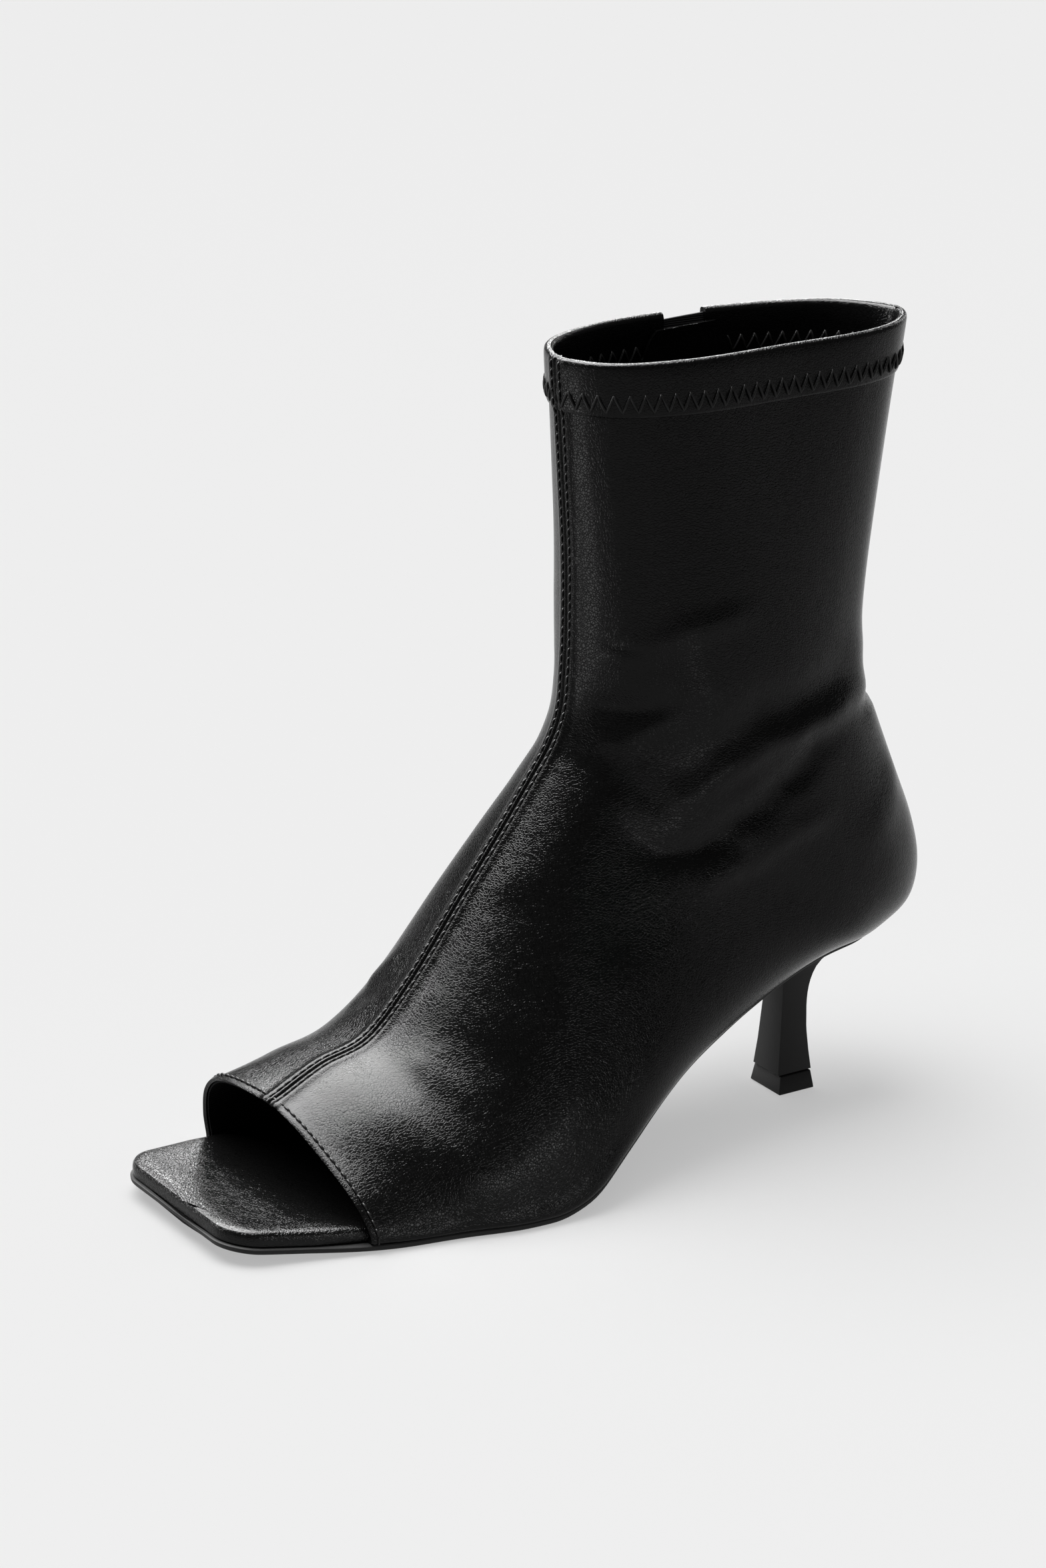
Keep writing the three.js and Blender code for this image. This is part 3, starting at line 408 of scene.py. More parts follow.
def closingRow(t):
    front = frontPoint(t)
    y = -read(form["underLine"], t, 1) * form["toeReach"]
    tuck = read(form["underLine"], t, 2)
    back = Vector((front.x * form["underSide"], y, featherZ(0, y) - tuck))
    depth = front.z - back.z
    row = [t, back.x, back.y, back.z]
    for sign, column in ((1, 1), (-1, 2)):
        level, half = 1 - tuck / depth, 0
        for _ in range(10):
            foot = front.lerp(back, level)
            x = sign * (soleHalf(foot.y, column) + form["overhang"])
            half = sign * (x - foot.x)
            level = (level + (front.z - featherZ(x, foot.y)) / depth) / 2
        row += [level, half]
    return row


seatZ = form["seatHeight"] + form["outsole"]
underEnd = form["underLine"][-1][0]
closings = [closingRow(underEnd * n / 27) for n in range(28)]
for t, reach, climb, side in form["backLine"]:
    row = [t, side * form["ballWidth"], reach * form["heelReach"], seatZ + climb * (form["rimHeight"] - seatZ)]
    for column in (5, 9):
        row += [form["backLevel"], read(form["girths"], t, column) * form["backWidth"] * form["ballWidth"]]
    closings.append(row)

ringPoints = 12
sections = {}


# Control points of section t: front, five down the outer side, back, and five up the inner side.
def section(t):
    key = round(t, 6)
    if key not in sections:
        front = frontPoint(t)
        back = Vector([read(closings, t, n) for n in (1, 2, 3)])
        across = Vector((1, read(form["girths"], t, 1), 0))
        depth = (back - front).length
        down = (back - front).normalized()
        outer, inner = [], []
        for points, sign, first, closing in ((outer, 1, 2, 4), (inner, -1, 6, 6)):
            lowest = read(closings, t, closing) * depth
            for n, level in enumerate(form["levels"]):
                half = read(form["girths"], t, first + n) * form["ballWidth"]
                points.append(front + across * (sign * half) + down * (level * lowest))
            points.append(front + across * (sign * read(closings, t, closing + 1)) + down * lowest)
        sections[key] = [front, *outer, front + down * depth, *reversed(inner)]
    return sections[key]


def spline(p0, p1, p2, p3, w):
    d0, d1, d2 = ((a - b).length ** 0.5 or 1e-4 for a, b in ((p1, p0), (p2, p1), (p3, p2)))
    t1 = ((p1 - p0) / d0 - (p2 - p0) / (d0 + d1) + (p2 - p1) / d1) * d1
    t2 = ((p2 - p1) / d1 - (p3 - p1) / (d1 + d2) + (p3 - p2) / d2) * d1
    return p1 + w * (t1 + w * (-3 * p1 + 3 * p2 - 2 * t1 - t2 + w * (2 * p1 - 2 * p2 + t1 + t2)))


# Point of the form at section t and turn u: 0 is the front line, 0.5 the back, outer side first.
def skinPoint(t, u):
    points = section(t)
    place = (u % 1) * ringPoints
    i = min(int(place), ringPoints - 1)
    after, last = points[(i + 1) % ringPoints], points[(i + 2) % ringPoints]
    return spline(points[i - 1], points[i], after, last, place - i)


def skinNormal(t, u):
    step = 0.004
    low, high = max(t - step, 0), min(t + step, 1)
    along = skinPoint(high, u) - skinPoint(low, u)
    around = skinPoint(t, u + step) - skinPoint(t, u - step)
    return around.cross(along).normalized()


# Section of the shaft whose point at turn u is z high.
def atHeight(u, z):
    low, high = 0.6, 1.0
    for _ in range(30):
        middle = (low + high) / 2
        if skinPoint(middle, u).z < z:
            low = middle
        else:
            high = middle
    return (low + high) / 2


# Pieces


def place3d(point):
    return Vector(point) * mm + heelFoot


def selectOnly(piece):
    bpy.ops.object.select_all(action="DESELECT")
    piece.select_set(True)
    bpy.context.view_layer.objects.active = piece


# A grid primitive whose corners are moved to the given rows of points (mm), with its meeting edges merged.
def addSheet(name, rows, merge=0.02):
    bpy.ops.object.select_all(action="DESELECT")
    bpy.ops.mesh.primitive_grid_add(x_subdivisions=len(rows[0]) - 1, y_subdivisions=len(rows) - 1, size=1)
    piece = bpy.context.object
    piece.name = piece.data.name = name
    flat = [c for row in rows for point in row for c in place3d(point)]
    piece.data.vertices.foreach_set("co", flat)
    piece.data.update()
    bpy.ops.object.mode_set(mode="EDIT")
    bpy.ops.mesh.select_all(action="SELECT")
    bpy.ops.mesh.remove_doubles(threshold=merge * mm)
    bpy.ops.object.mode_set(mode="OBJECT")
    return piece


def faceOutwards(piece):
    selectOnly(piece)
    bpy.ops.object.mode_set(mode="EDIT")
    bpy.ops.mesh.select_all(action="SELECT")
    bpy.ops.mesh.normals_make_consistent(inside=False)
    bpy.ops.object.mode_set(mode="OBJECT")


# Turns an open sheet so that its faces look away from the boot's middle line.
def faceAway(piece):
    total = 0.0
    for face in piece.data.polygons:
        middle = Vector((heelFoot.x, heelFoot.y - 0.06 + min(face.center.z, 0.06), face.center.z))
        total += face.normal.dot(face.center - middle) * face.area
    if total < 0:
        selectOnly(piece)
        bpy.ops.object.mode_set(mode="EDIT")
        bpy.ops.mesh.select_all(action="SELECT")
        bpy.ops.mesh.flip_normals()
        bpy.ops.object.mode_set(mode="OBJECT")


def applyModifier(piece, kind, settings):
    selectOnly(piece)
    modifier = piece.modifiers.new(kind.lower(), kind)
    for key, value in settings.items():
        setattr(modifier, key, value)
    bpy.ops.object.modifier_apply(modifier=modifier.name)


def thicken(piece, thickness):
    applyModifier(piece, "SOLIDIFY", {"thickness": thickness * mm, "offset": -1, "use_even_offset": False})


def finishPiece(piece, material, body="boot", smooth=35):
    piece.data.materials.clear()
    piece.data.materials.append(materials[material])
    selectOnly(piece)
    bpy.ops.object.shade_smooth_by_angle(angle=math.radians(smooth))
    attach(piece, body)


def deleteFaces(piece, test):
    selectOnly(piece)
    bpy.ops.object.mode_set(mode="EDIT")
    bpy.ops.mesh.select_all(action="DESELECT")
    bpy.ops.mesh.select_mode(type="FACE")
    bpy.ops.object.mode_set(mode="OBJECT")
    for face in piece.data.polygons:
        face.select = test(face)
    bpy.ops.object.mode_set(mode="EDIT")
    bpy.ops.mesh.delete(type="FACE")
    bpy.ops.object.mode_set(mode="OBJECT")


# Zip: its middle line, and places on it found by casting a ray from the inner side onto the bare form.


def zipAt(v):
    rows = [(n, *row) for n, row in enumerate(form["zipLine"])]
    last = len(rows) - 1

    def spot(w):
        along, height = (read(rows, w * last, n) for n in (1, 2))
        return Vector((-along * form["toeReach"], height * form["rimHeight"]))

    heading = (spot(min(v + 0.01, 1)) - spot(max(v - 0.01, 0))).normalized()
    return spot(v), heading, read(rows, v * last, 3) * form["slotWidth"] / 2


zipSteps = 120
zipTrack = [zipAt(n / zipSteps) for n in range(zipSteps + 1)]
bareMesh = {"rows": 110, "columns": 96, "rayFrom": -200, "nearX": -35}


def makeBareForm():
    rows, columns = bareMesh["rows"], bareMesh["columns"]
    points = [skinPoint(i / rows, j / columns) for i in range(rows + 1) for j in range(columns)]
    faces = []
    for i in range(rows):
        for j in range(columns):
            here, beside = i * columns + j, i * columns + (j + 1) % columns
            faces.append((here, beside, beside + columns, here + columns))
    return BVHTree.FromPolygons(points, faces)


bareForm = makeBareForm()


# Place on the form's inner side at y and z, at a height over it, and the normal there.
def innerSide(y, z, lift):
    hit, normal, _, _ = bareForm.ray_cast(Vector((bareMesh["rayFrom"], y, z)), Vector((1, 0, 0)))
    if hit is None:
        hit, normal, _, _ = bareForm.find_nearest(Vector((bareMesh["nearX"], y, z)))
    if normal.x > 0:
        normal = -normal
    return hit + normal * lift, normal


# The same beside the zip's middle line, v along it and side across it.
def onZip(v, side, lift):
    middle, heading, _ = zipAt(v)
    return innerSide(middle.x - heading.y * side, middle.y + heading.x * side, lift)


# Distance (mm) of a point on the inner side from the slot's edge, below 0 inside the slot.
def slotDistance(point):
    best = 1e9
    for middle, _, half in zipTrack:
        best = min(best, math.hypot(point.y - middle.x, point.z - middle.y) - half)
    return best


# Upper leather

upperLeather = {
    "rows": 190,
    "thickness": 1.0,
    "columns": (12, 15, 13, 9),  # behind the seam's own columns, down each of the ring's stretches
    # towards the back seam
    "backColumns": (0.15, 0.3, 0.45, 0.58, 0.7, 0.8, 0.87, 0.92, 0.95, 0.97, 0.985, 1),
    "seamColumns": (0, 0.25, 0.5, 0.8, 1.1, 1.4, 1.7, 2.05, 2.4, 2.8, 3.3, 4.0, 5.0, 6.2),
    "lastedMargin": 5.0,
    "lastedHeight": 0.5,
    "openingTill": 0.06,  # last section that the opening's edge reaches
    "zipTurn": 0.55, "zipSection": 0.3,  # the zip lies past both
    "backSection": 0.56, "backReach": 0.03,  # the back seam's first section, and its turns from the middle
    "heldFrom": 3, "heldRun": 10,  # mm from the slot, where folds start and how soon they are whole
    # distance from the join (mm), height over the leather
    "seamProfile": [
        (0, -0.35), (0.25, 0.05), (0.6, 0.6), (1.0, 0.62), (1.45, 0.3), (1.9, 0.66), (2.5, 0.72), (3.1, 0.5),
        (4.0, 0.12), (6.2, 0),
    ],
    "backProfile": [(0, -0.4), (0.3, -0.1), (0.8, 0.12), (1.6, 0.08), (3, 0)],
    # distance from the edge (mm), height over the leather
    "edgeProfile": [(0, 0.05), (0.3, 0.32), (1.0, 0.4), (1.6, 0.2), (2.0, 0.02), (2.5, 0.14), (4.0, 0)],
}

foldReach = 3  # widths to either side
foldFade = 0.3  # share of its length at each end
# Soft troughs (below 0) and ridges in the leather. mm.
folds = [
    # width, height, and places as (section, turn)
    # ankle, outer side: a ridge that runs down and forward from the back crease, with a hollow under it
    (4.0, 1.5, [(0.785, 0.42), (0.771, 0.326), (0.736, 0.257), (0.697, 0.212), (0.636, 0.179),
                (0.568, 0.158), (0.51, 0.142)]),
    (3.8, -1.9, [(0.745, 0.32), (0.714, 0.259), (0.648, 0.22), (0.583, 0.198), (0.523, 0.189),
                 (0.5, 0.177), (0.489, 0.14)]),
    (9.0, -1.5, [(0.54, 0.14), (0.5, 0.15), (0.46, 0.17), (0.43, 0.2), (0.4, 0.23)]),
    (3.4, 0.9, [(0.66, 0.27), (0.6, 0.23), (0.53, 0.216), (0.475, 0.216)]),
    (6.0, -1.0, [(0.8, 0.4), (0.785, 0.31), (0.74, 0.216), (0.668, 0.172), (0.606, 0.14)]),
    # back of the ankle: a sharp crease under a soft bulge
    (2.8, -1.3, [(0.74, 0.64), (0.768, 0.56), (0.779, 0.48), (0.768, 0.39), (0.75, 0.3)]),
    (6.5, 0.8, [(0.8, 0.64), (0.812, 0.56), (0.815, 0.47), (0.805, 0.37), (0.79, 0.28)]),
    (5.5, 0.6, [(0.73, 0.43), (0.705, 0.37), (0.665, 0.32), (0.61, 0.28)]),
    # front of the ankle
    (1.6, -0.35, [(0.761, 0.05), (0.761, 0.08), (0.765, 0.105), (0.772, 0.13)]),
    (3.6, 0.7, [(0.73, 0.05), (0.745, 0.08), (0.773, 0.116), (0.806, 0.16), (0.829, 0.203), (0.842, 0.24)]),
    (3.6, -1.1, [(0.64, 0.03), (0.643, 0.069), (0.666, 0.108), (0.703, 0.144), (0.764, 0.196)]),
    (3.2, 0.9, [(0.565, 0.04), (0.602, 0.094), (0.661, 0.122), (0.724, 0.156), (0.765, 0.2)]),
    # ankle, inner side, held flatter by the zip
    (5.0, -1.0, [(0.76, 0.62), (0.73, 0.68), (0.7, 0.76), (0.66, 0.84), (0.63, 0.9)]),
    (5.5, 0.8, [(0.7, 0.62), (0.67, 0.7), (0.62, 0.79), (0.58, 0.87)]),
    (3.4, -0.7, [(0.69, 0.95), (0.68, 0.91), (0.7, 0.86), (0.73, 0.82)]),
    # instep and vamp
    (4.0, 0.8, [(0.25, 0.9), (0.277, 0.923), (0.3, 0.955)]),
    (3.0, -0.5, [(0.22, 0.91), (0.242, 0.93), (0.262, 0.955)]),
    (5.0, -0.3, [(0.233, 0.04), (0.255, 0.09), (0.273, 0.158), (0.294, 0.208)]),
    (3.5, 0.3, [(0.204, 0.06), (0.215, 0.11), (0.228, 0.16), (0.24, 0.2)]),
    (8.0, -0.8, [(0.4, 0.06), (0.38, 0.1), (0.35, 0.15), (0.33, 0.2)]),
]


def foldLines():
    lines = []
    for width, height, places in folds:
        points = []
        for (t0, u0), (t1, u1) in zip(places, places[1:]):
            points += [skinPoint(t0 + (t1 - t0) * n / 8, u0 + (u1 - u0) * n / 8) for n in range(8)]
        points.append(skinPoint(*places[-1]))
        middle = sum(points, Vector()) / len(points)
        reach = max((p - middle).length for p in points) + foldReach * width
        lines.append((points, width, height, middle, reach))
    return lines


def foldHeight(point, lines):
    total = 0.0
    for points, width, height, middle, reach in lines:
        if (point - middle).length > reach:
            continue
        best, share = 1e9, 0.0
        for n, (p, q) in enumerate(zip(points, points[1:])):
            line = q - p
            along = min(max((point - p).dot(line) / line.length_squared, 0), 1)
            d = (point - p - line * along).length_squared
            if d < best:
                best, share = d, (n + along) / (len(points) - 1)
        if best < (foldReach * width) ** 2:
            ends = min(1, min(share, 1 - share) / foldFade)
            ends = ends * ends * (3 - 2 * ends)
            total += height * ends * math.exp(-best / width ** 2)
    return total


def nearZip(t, u):
    return u > upperLeather["zipTurn"] and t > upperLeather["zipSection"]


# A fold's height where the zip holds the leather flat.
def heldByZip(fold, t, u, point):
    if fold and nearZip(t, u):
        free = (slotDistance(point) - upperLeather["heldFrom"]) / upperLeather["heldRun"]
        return fold * min(max(free, 0), 1)
    return fold


# Turns of a row's columns down the outer side and down the inner side, close together at both seams.
def ringTurns(t, settings):
    stretchTurn = 1 / ringPoints

    def half(direction):
        turns = []
        arc, last, u = 0.0, skinPoint(t, 0), 0.0
        samples = [(0.0, 0.0)]
        while u < stretchTurn:
            u = u + 1 / 480
            point = skinPoint(t, direction * u)
            arc += (point - last).length
            last = point
            samples.append((arc, u))
        k = 0
        for wanted in settings["seamColumns"]:
            wanted = min(wanted, arc * 0.7)
            while k < len(samples) - 2 and samples[k + 1][0] < wanted:
                k += 1
            (a0, u0), (a1, u1) = samples[k], samples[k + 1]
            turns.append(u0 + (u1 - u0) * (wanted - a0) / (a1 - a0))
        start = turns[-1]
        turns += [start + (stretchTurn - start) * n / 5 for n in range(1, 6)]
        for stretch, count in enumerate(settings["columns"]):
            turns += [(stretch + 1 + n / count) / ringPoints for n in range(1, count + 1)]
        turns += [(5 + share) / ringPoints for share in settings["backColumns"]]
        return turns

    return half(1), [1 - u for u in half(-1)]


def makeUpper():
    settings = upperLeather
    lines = foldLines()
    rows = []
    edgePoints = None
    for i in range(settings["rows"] + 1):
        t = i / settings["rows"]
        outer, inner = ringTurns(t, settings)
        turns = outer + inner[::-1][1:]
        row = []
        points = [skinPoint(t, u) for u in turns]
        edgePoints = edgePoints or points
        count = len(points)
        for j, (u, point) in enumerate(zip(turns, points)):
            normal = skinNormal(t, u)
            fromFront = min(j, count - 1 - j)
            lift = 0.0
            if fromFront < len(settings["seamColumns"]):
                lift += read(settings["seamProfile"], settings["seamColumns"][fromFront], 1)
            if t < settings["openingTill"]:
                lift += read(settings["edgeProfile"], (point - edgePoints[j]).length, 1)
            if nearZip(t, u):
                away = slotDistance(point)
                if -0.5 < away < 4:
                    lift += read(settings["edgeProfile"], max(away, 0), 1)
            if t > settings["backSection"] and abs(u - 0.5) < settings["backReach"]:
                lift += read(settings["backProfile"], (point - skinPoint(t, 0.5)).length, 1)
            lift += heldByZip(foldHeight(point, lines), t, u, point)
            spot = point + normal * lift
            floor = featherZ(spot.x, spot.y) + form["gap"]
            if spot.z < floor:
                spot.z = floor
            row.append(spot)
        rows.append(row)
    piece = addSheet("upper_leather", rows)
    inside = settings["lastedMargin"]

    def hidden(face):
        c = (face.center - heelFoot) / mm
        half = soleHalf(c.y, 1 if c.x > 0 else 2)
        end = form["seatReach"] * form["heelReach"]
        low = c.z < featherZ(c.x, c.y) + settings["lastedHeight"]
        return low and abs(c.x) < half - inside and c.y < end - inside

    deleteFaces(piece, hidden)
    faceAway(piece)
    thicken(piece, settings["thickness"])
    return piece


slotCut = {"narrowest": 0.3, "farX": -80, "nearX": -8}


def slotCutter():
    left, right = [], []
    for middle, heading, half in zipTrack[::4]:
        reach = max(half, slotCut["narrowest"])
        left.append(Vector((0, middle.x - heading.y * reach, middle.y + heading.x * reach)))
        right.append(Vector((0, middle.x + heading.y * reach, middle.y - heading.x * reach)))
    far, near = Vector((slotCut["farX"], 0, 0)), Vector((slotCut["nearX"], 0, 0))
    sides = ((left, far), (left, near), (right, near), (right, far), (left, far))
    cutter = addSheet("slot_cutter", [[point + shift for point in line] for line, shift in sides])
    selectOnly(cutter)
    bpy.ops.object.mode_set(mode="EDIT")
    bpy.ops.mesh.select_mode(type="VERT")
    bpy.ops.mesh.select_all(action="DESELECT")
    bpy.ops.mesh.select_non_manifold()
    bpy.ops.mesh.edge_face_add()
    bpy.ops.mesh.fill_holes(sides=0)
    bpy.ops.object.mode_set(mode="OBJECT")
    faceOutwards(cutter)
    return cutter


def cutSlot(piece):
    cutter = slotCutter()
    applyModifier(piece, "BOOLEAN", {"operation": "DIFFERENCE", "solver": "EXACT", "object": cutter})
    bpy.data.objects.remove(cutter)


upper = makeUpper()
cutSlot(upper)
finishPiece(upper, "leather", smooth=50)
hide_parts("upper")
print("upper leather done")

# Collar hem, folded in over the rim, with its zigzag thread

collarHem = {
    "columns": 220,
    "depth": 14.3,
    # depth under the rim and distance out of the shaft's leather (mm)
    "profile": [
        (14.3, -0.3), (14.25, 0.25), (14.0, 0.62), (13.4, 0.8), (11.5, 0.8), (8.0, 0.85), (4.0, 0.85),
        (1.4, 0.8), (0.5, 0.62), (0.05, 0.2), (-0.1, -0.4), (0.05, -1.1), (0.5, -1.6), (1.4, -1.85),
        (6.0, -1.8), (11.0, -1.75), (13.2, -1.75), (13.9, -1.6), (14.2, -1.2),
    ],
    "seamTurns": [0, 0.0012, 0.0026, 0.004, 0.0055, 0.0075, 0.01, 0.0135, 0.018, 0.025],
    "seamShare": 0.7,  # share of the seams' height that shows through the hem
    "backStep": 0.0012, "backTurns": 0.008, "backRound": 190,  # the last: mm to a turn, at the back
    "zigzagDepth": 10.5,
    "zigzagHeight": 4.4,
    "zigzagPitch": 4.0,
    "zigzagOut": 0.8, "zigzagIn": -1.8,
    "threadRadius": 0.35,
    "threadLift": 0.32,
    "slotClear": 0.8,
}


def hemSpot(u, depth, out):
    t = atHeight(u, form["rimHeight"] - max(depth, 0))
    point, normal = skinPoint(t, u), skinNormal(t, u)
    point.z = form["rimHeight"] - depth
    normal.z = 0
    normal.normalize()
    return point + normal * out, normal


# Height of the front seam at turn u, half way down the hem.
def seamRise(u):
    t = atHeight(u, form["rimHeight"] - 7)
    return read(upperLeather["seamProfile"], abs(skinPoint(t, u).x - skinPoint(t, 0).x), 1)


def makeHem():
    settings = collarHem
    seamTurns, columns = settings["seamTurns"], settings["columns"]
    clear = seamTurns[-1]
    turns = seamTurns + [clear + (1 - 2 * clear) * n / columns for n in range(1, columns)]
    turns = sorted(turns + [0.5 + n * settings["backStep"] for n in (-3, -2, -1, 1, 2, 3)])
    turns += [1 - u for u in reversed(seamTurns)]
    rows = []
    for depth, out in settings["profile"]:
        row = []
        for u in turns:
            extra = seamRise(u) if out > 0 else 0
            if abs(u - 0.5) < settings["backTurns"] and out > 0.3:
                extra += read(upperLeather["backProfile"], abs(u - 0.5) * settings["backRound"], 1)
            row.append(hemSpot(u, depth, out + settings["seamShare"] * extra)[0])
        rows.append(row)
    rows.append([Vector(p) for p in rows[0]])
    piece = addSheet("collar_hem", rows)
    faceOutwards(piece)
    return piece


# share along a stitch, and height as a share of its lift
threadArch = [(0.0, -0.5), (0.07, 0.25), (0.25, 0.85), (0.5, 1.0), (0.75, 0.85), (0.93, 0.25), (1.0, -0.5)]


# Stitches as short arched lengths of thread, each from one needle hole to the next.
def addStitches(name, pairs, radius, lift):
    curve = bpy.data.curves.new(name, "CURVE")
    curve.dimensions = "3D"
    curve.bevel_depth = radius * mm
    curve.bevel_resolution = 2
    curve.use_fill_caps = True
    for (a, normalA), (b, normalB) in pairs:
        line = curve.splines.new("POLY")
        line.points.add(len(threadArch) - 1)
        for n, (share, height) in enumerate(threadArch):
            normal = normalA.lerp(normalB, share)
            spot = place3d(a.lerp(b, share) + normal * (height * lift))
            line.points[n].co = (*spot, 1)
    piece = bpy.data.objects.new(name, curve)
    bpy.context.scene.collection.objects.link(piece)
    selectOnly(piece)
    bpy.ops.object.convert(target="MESH")
    piece = bpy.context.object
    finishPiece(piece, "thread", smooth=60)


def ringLengths(depth, count=720):
    points = [hemSpot(n / count, depth, 0)[0] for n in range(count + 1)]
    lengths = [0.0]
    for a, b in zip(points, points[1:]):
        lengths.append(lengths[-1] + (b - a).length)
    return lengths


def hemZigzag(inside):
    settings = collarHem
    lengths = ringLengths(settings["zigzagDepth"])
    steps = int(lengths[-1] / (settings["zigzagPitch"] / 2))
    holes = []
    k = 0
    for n in range(steps + 1):
        wanted = lengths[-1] * n / steps
        while k < len(lengths) - 2 and lengths[k + 1] < wanted:
            k += 1
        u = (k + (wanted - lengths[k]) / (lengths[k + 1] - lengths[k])) / (len(lengths) - 1)
        depth = settings["zigzagDepth"] + (0.5 if n % 2 else -0.5) * settings["zigzagHeight"]
        out = settings["zigzagOut"] + settings["seamShare"] * seamRise(u)
        spot, normal = hemSpot(u, depth, settings["zigzagIn"] if inside else out)
        holes.append((spot, -normal if inside else normal))
    pairs = []
    for a, b in zip(holes, holes[1:]):
        middle = (a[0] + b[0]) / 2
        if middle.x < 0 and slotDistance(middle) < settings["slotClear"]:
            continue
        pairs.append((a, b))
    name = "hem_zigzag_inside" if inside else "hem_zigzag"
    addStitches(name, pairs, settings["threadRadius"], settings["threadLift"])


hem = makeHem()
cutSlot(hem)
finishPiece(hem, "leather", smooth=50)
hemZigzag(False)
hemZigzag(True)
print("collar hem done")

# Stitch rows: two down the front seam, one along the opening, and one down each side of the zip

stitchRows = {
    "pitch": 2.5, "gap": 0.45, "radius": 0.3, "lift": 0.4, "seamOut": 1.45, "edgeIn": 2.0, "zipOut": 2.0,
    "seamSections": (0.008, 0.998),
    # height of the needle holes: on the seam, on the hem over the seam, on a plain edge, and the step up from
    # there to the hem beside the zip
    "seamHigh": 0.36, "hemHigh": 1.05, "edgeHigh": 0.1, "zipHemStep": 0.75,
}


def evenHoles(track, pitch, gap):
    lengths = [0.0]
    for (a, _), (b, _) in zip(track, track[1:]):
        lengths.append(lengths[-1] + (b - a).length)
    count = int(lengths[-1] / pitch)

    def at(wanted):
        k = 0
        while k < len(lengths) - 2 and lengths[k + 1] < wanted:
            k += 1
        share = (wanted - lengths[k]) / ((lengths[k + 1] - lengths[k]) or 1)
        return track[k][0].lerp(track[k + 1][0], share), track[k][1].lerp(track[k + 1][1], share).normalized()

    step = lengths[-1] / count
    return [(at(n * step + gap / 2), at((n + 1) * step - gap / 2)) for n in range(count)]


def seamTrack(sign):
    track = []
    first, last = stitchRows["seamSections"]
    for n in range(301):
        t = first + (last - first) * n / 300
        u, point = 0.0, skinPoint(t, 0)
        walked = 0.0
        while walked < stitchRows["seamOut"]:
            u += 0.0005
            fresh = skinPoint(t, sign * u)
            walked += (fresh - point).length
            point = fresh
        normal = skinNormal(t, sign * u)
        out = stitchRows["hemHigh" if point.z > form["rimHeight"] - collarHem["depth"] else "seamHigh"]
        track.append((point + normal * out, normal))
    return track


def openingTrack():
    track = []
    for n in range(161):
        u = 5 / ringPoints * (1 - n / 80)
        t, point = 0.0, skinPoint(0, u)
        edge = point
        while (point - edge).length < stitchRows["edgeIn"]:
            t += 0.0006
            point = skinPoint(t, u)
        normal = skinNormal(t, u)
        track.append((point + normal * stitchRows["edgeHigh"], normal))
    return track


def zipTrackAt(sign):
    track = []
    for n in range(8, zipSteps - 1):
        v = n / zipSteps
        middle, _, half = zipAt(v)
        if middle.y > form["rimHeight"] - 1:
            continue
        spot, normal = onZip(v, sign * (half + stitchRows["zipOut"]), stitchRows["edgeHigh"])
        if middle.y > form["rimHeight"] - collarHem["depth"]:
            spot = spot + normal * stitchRows["zipHemStep"]
        track.append((spot, normal))
    return track


for label, track in (
    ("seam_stitches_outer", seamTrack(1)),
    ("seam_stitches_inner", seamTrack(-1)),
    ("opening_stitches", openingTrack()),
    ("zip_stitches_front", zipTrackAt(1)),
    ("zip_stitches_back", zipTrackAt(-1)),
):
    pairs = evenHoles(track, stitchRows["pitch"], stitchRows["gap"])
    addStitches(label, pairs, stitchRows["radius"], stitchRows["lift"])
print("stitches done")

# Lining

lining = {
    "rows": 100, "columns": 96, "sections": (0.004, 0.996), "depth": 1.08, "thickness": 0.45, "top": 13.6,
    "overFeather": 1.3, "lastedHeight": 1.8, "lastedMargin": 5, "lastedEnd": 20,
}


def makeLining():
    lines = foldLines()
    first, last = lining["sections"]
    rows = []
    for i in range(lining["rows"] + 1):
        t = first + (last - first) * i / lining["rows"]
        row = []
        for j in range(lining["columns"] + 1):
            u = j / lining["columns"]
            point = skinPoint(t, u)
            fold = heldByZip(foldHeight(point, lines), t, u, point)
            point = point + skinNormal(t, u) * (min(fold, 0) - lining["depth"])
            point.z = max(point.z, featherZ(point.x, point.y) + form["gap"] + lining["overFeather"])
            point.z = min(point.z, form["rimHeight"] - lining["top"])
            row.append(point)
        rows.append(row)
    piece = addSheet("upper_lining", rows, merge=0.05)
    top = form["rimHeight"] - lining["top"] - 0.02

    def spare(face):
        c = (face.center - heelFoot) / mm
        half = soleHalf(c.y, 1 if c.x > 0 else 2)
        low = c.z < featherZ(c.x, c.y) + lining["lastedHeight"] and c.y < lining["lastedEnd"]
        return c.z > top or low and abs(c.x) < half - lining["lastedMargin"]

    deleteFaces(piece, spare)
    faceAway(piece)
    thicken(piece, lining["thickness"])
    return piece


liningPiece = makeLining()
cutSlot(liningPiece)
finishPiece(liningPiece, "lining", smooth=60)
print("lining done")

# Sole, footbed, heel and lift


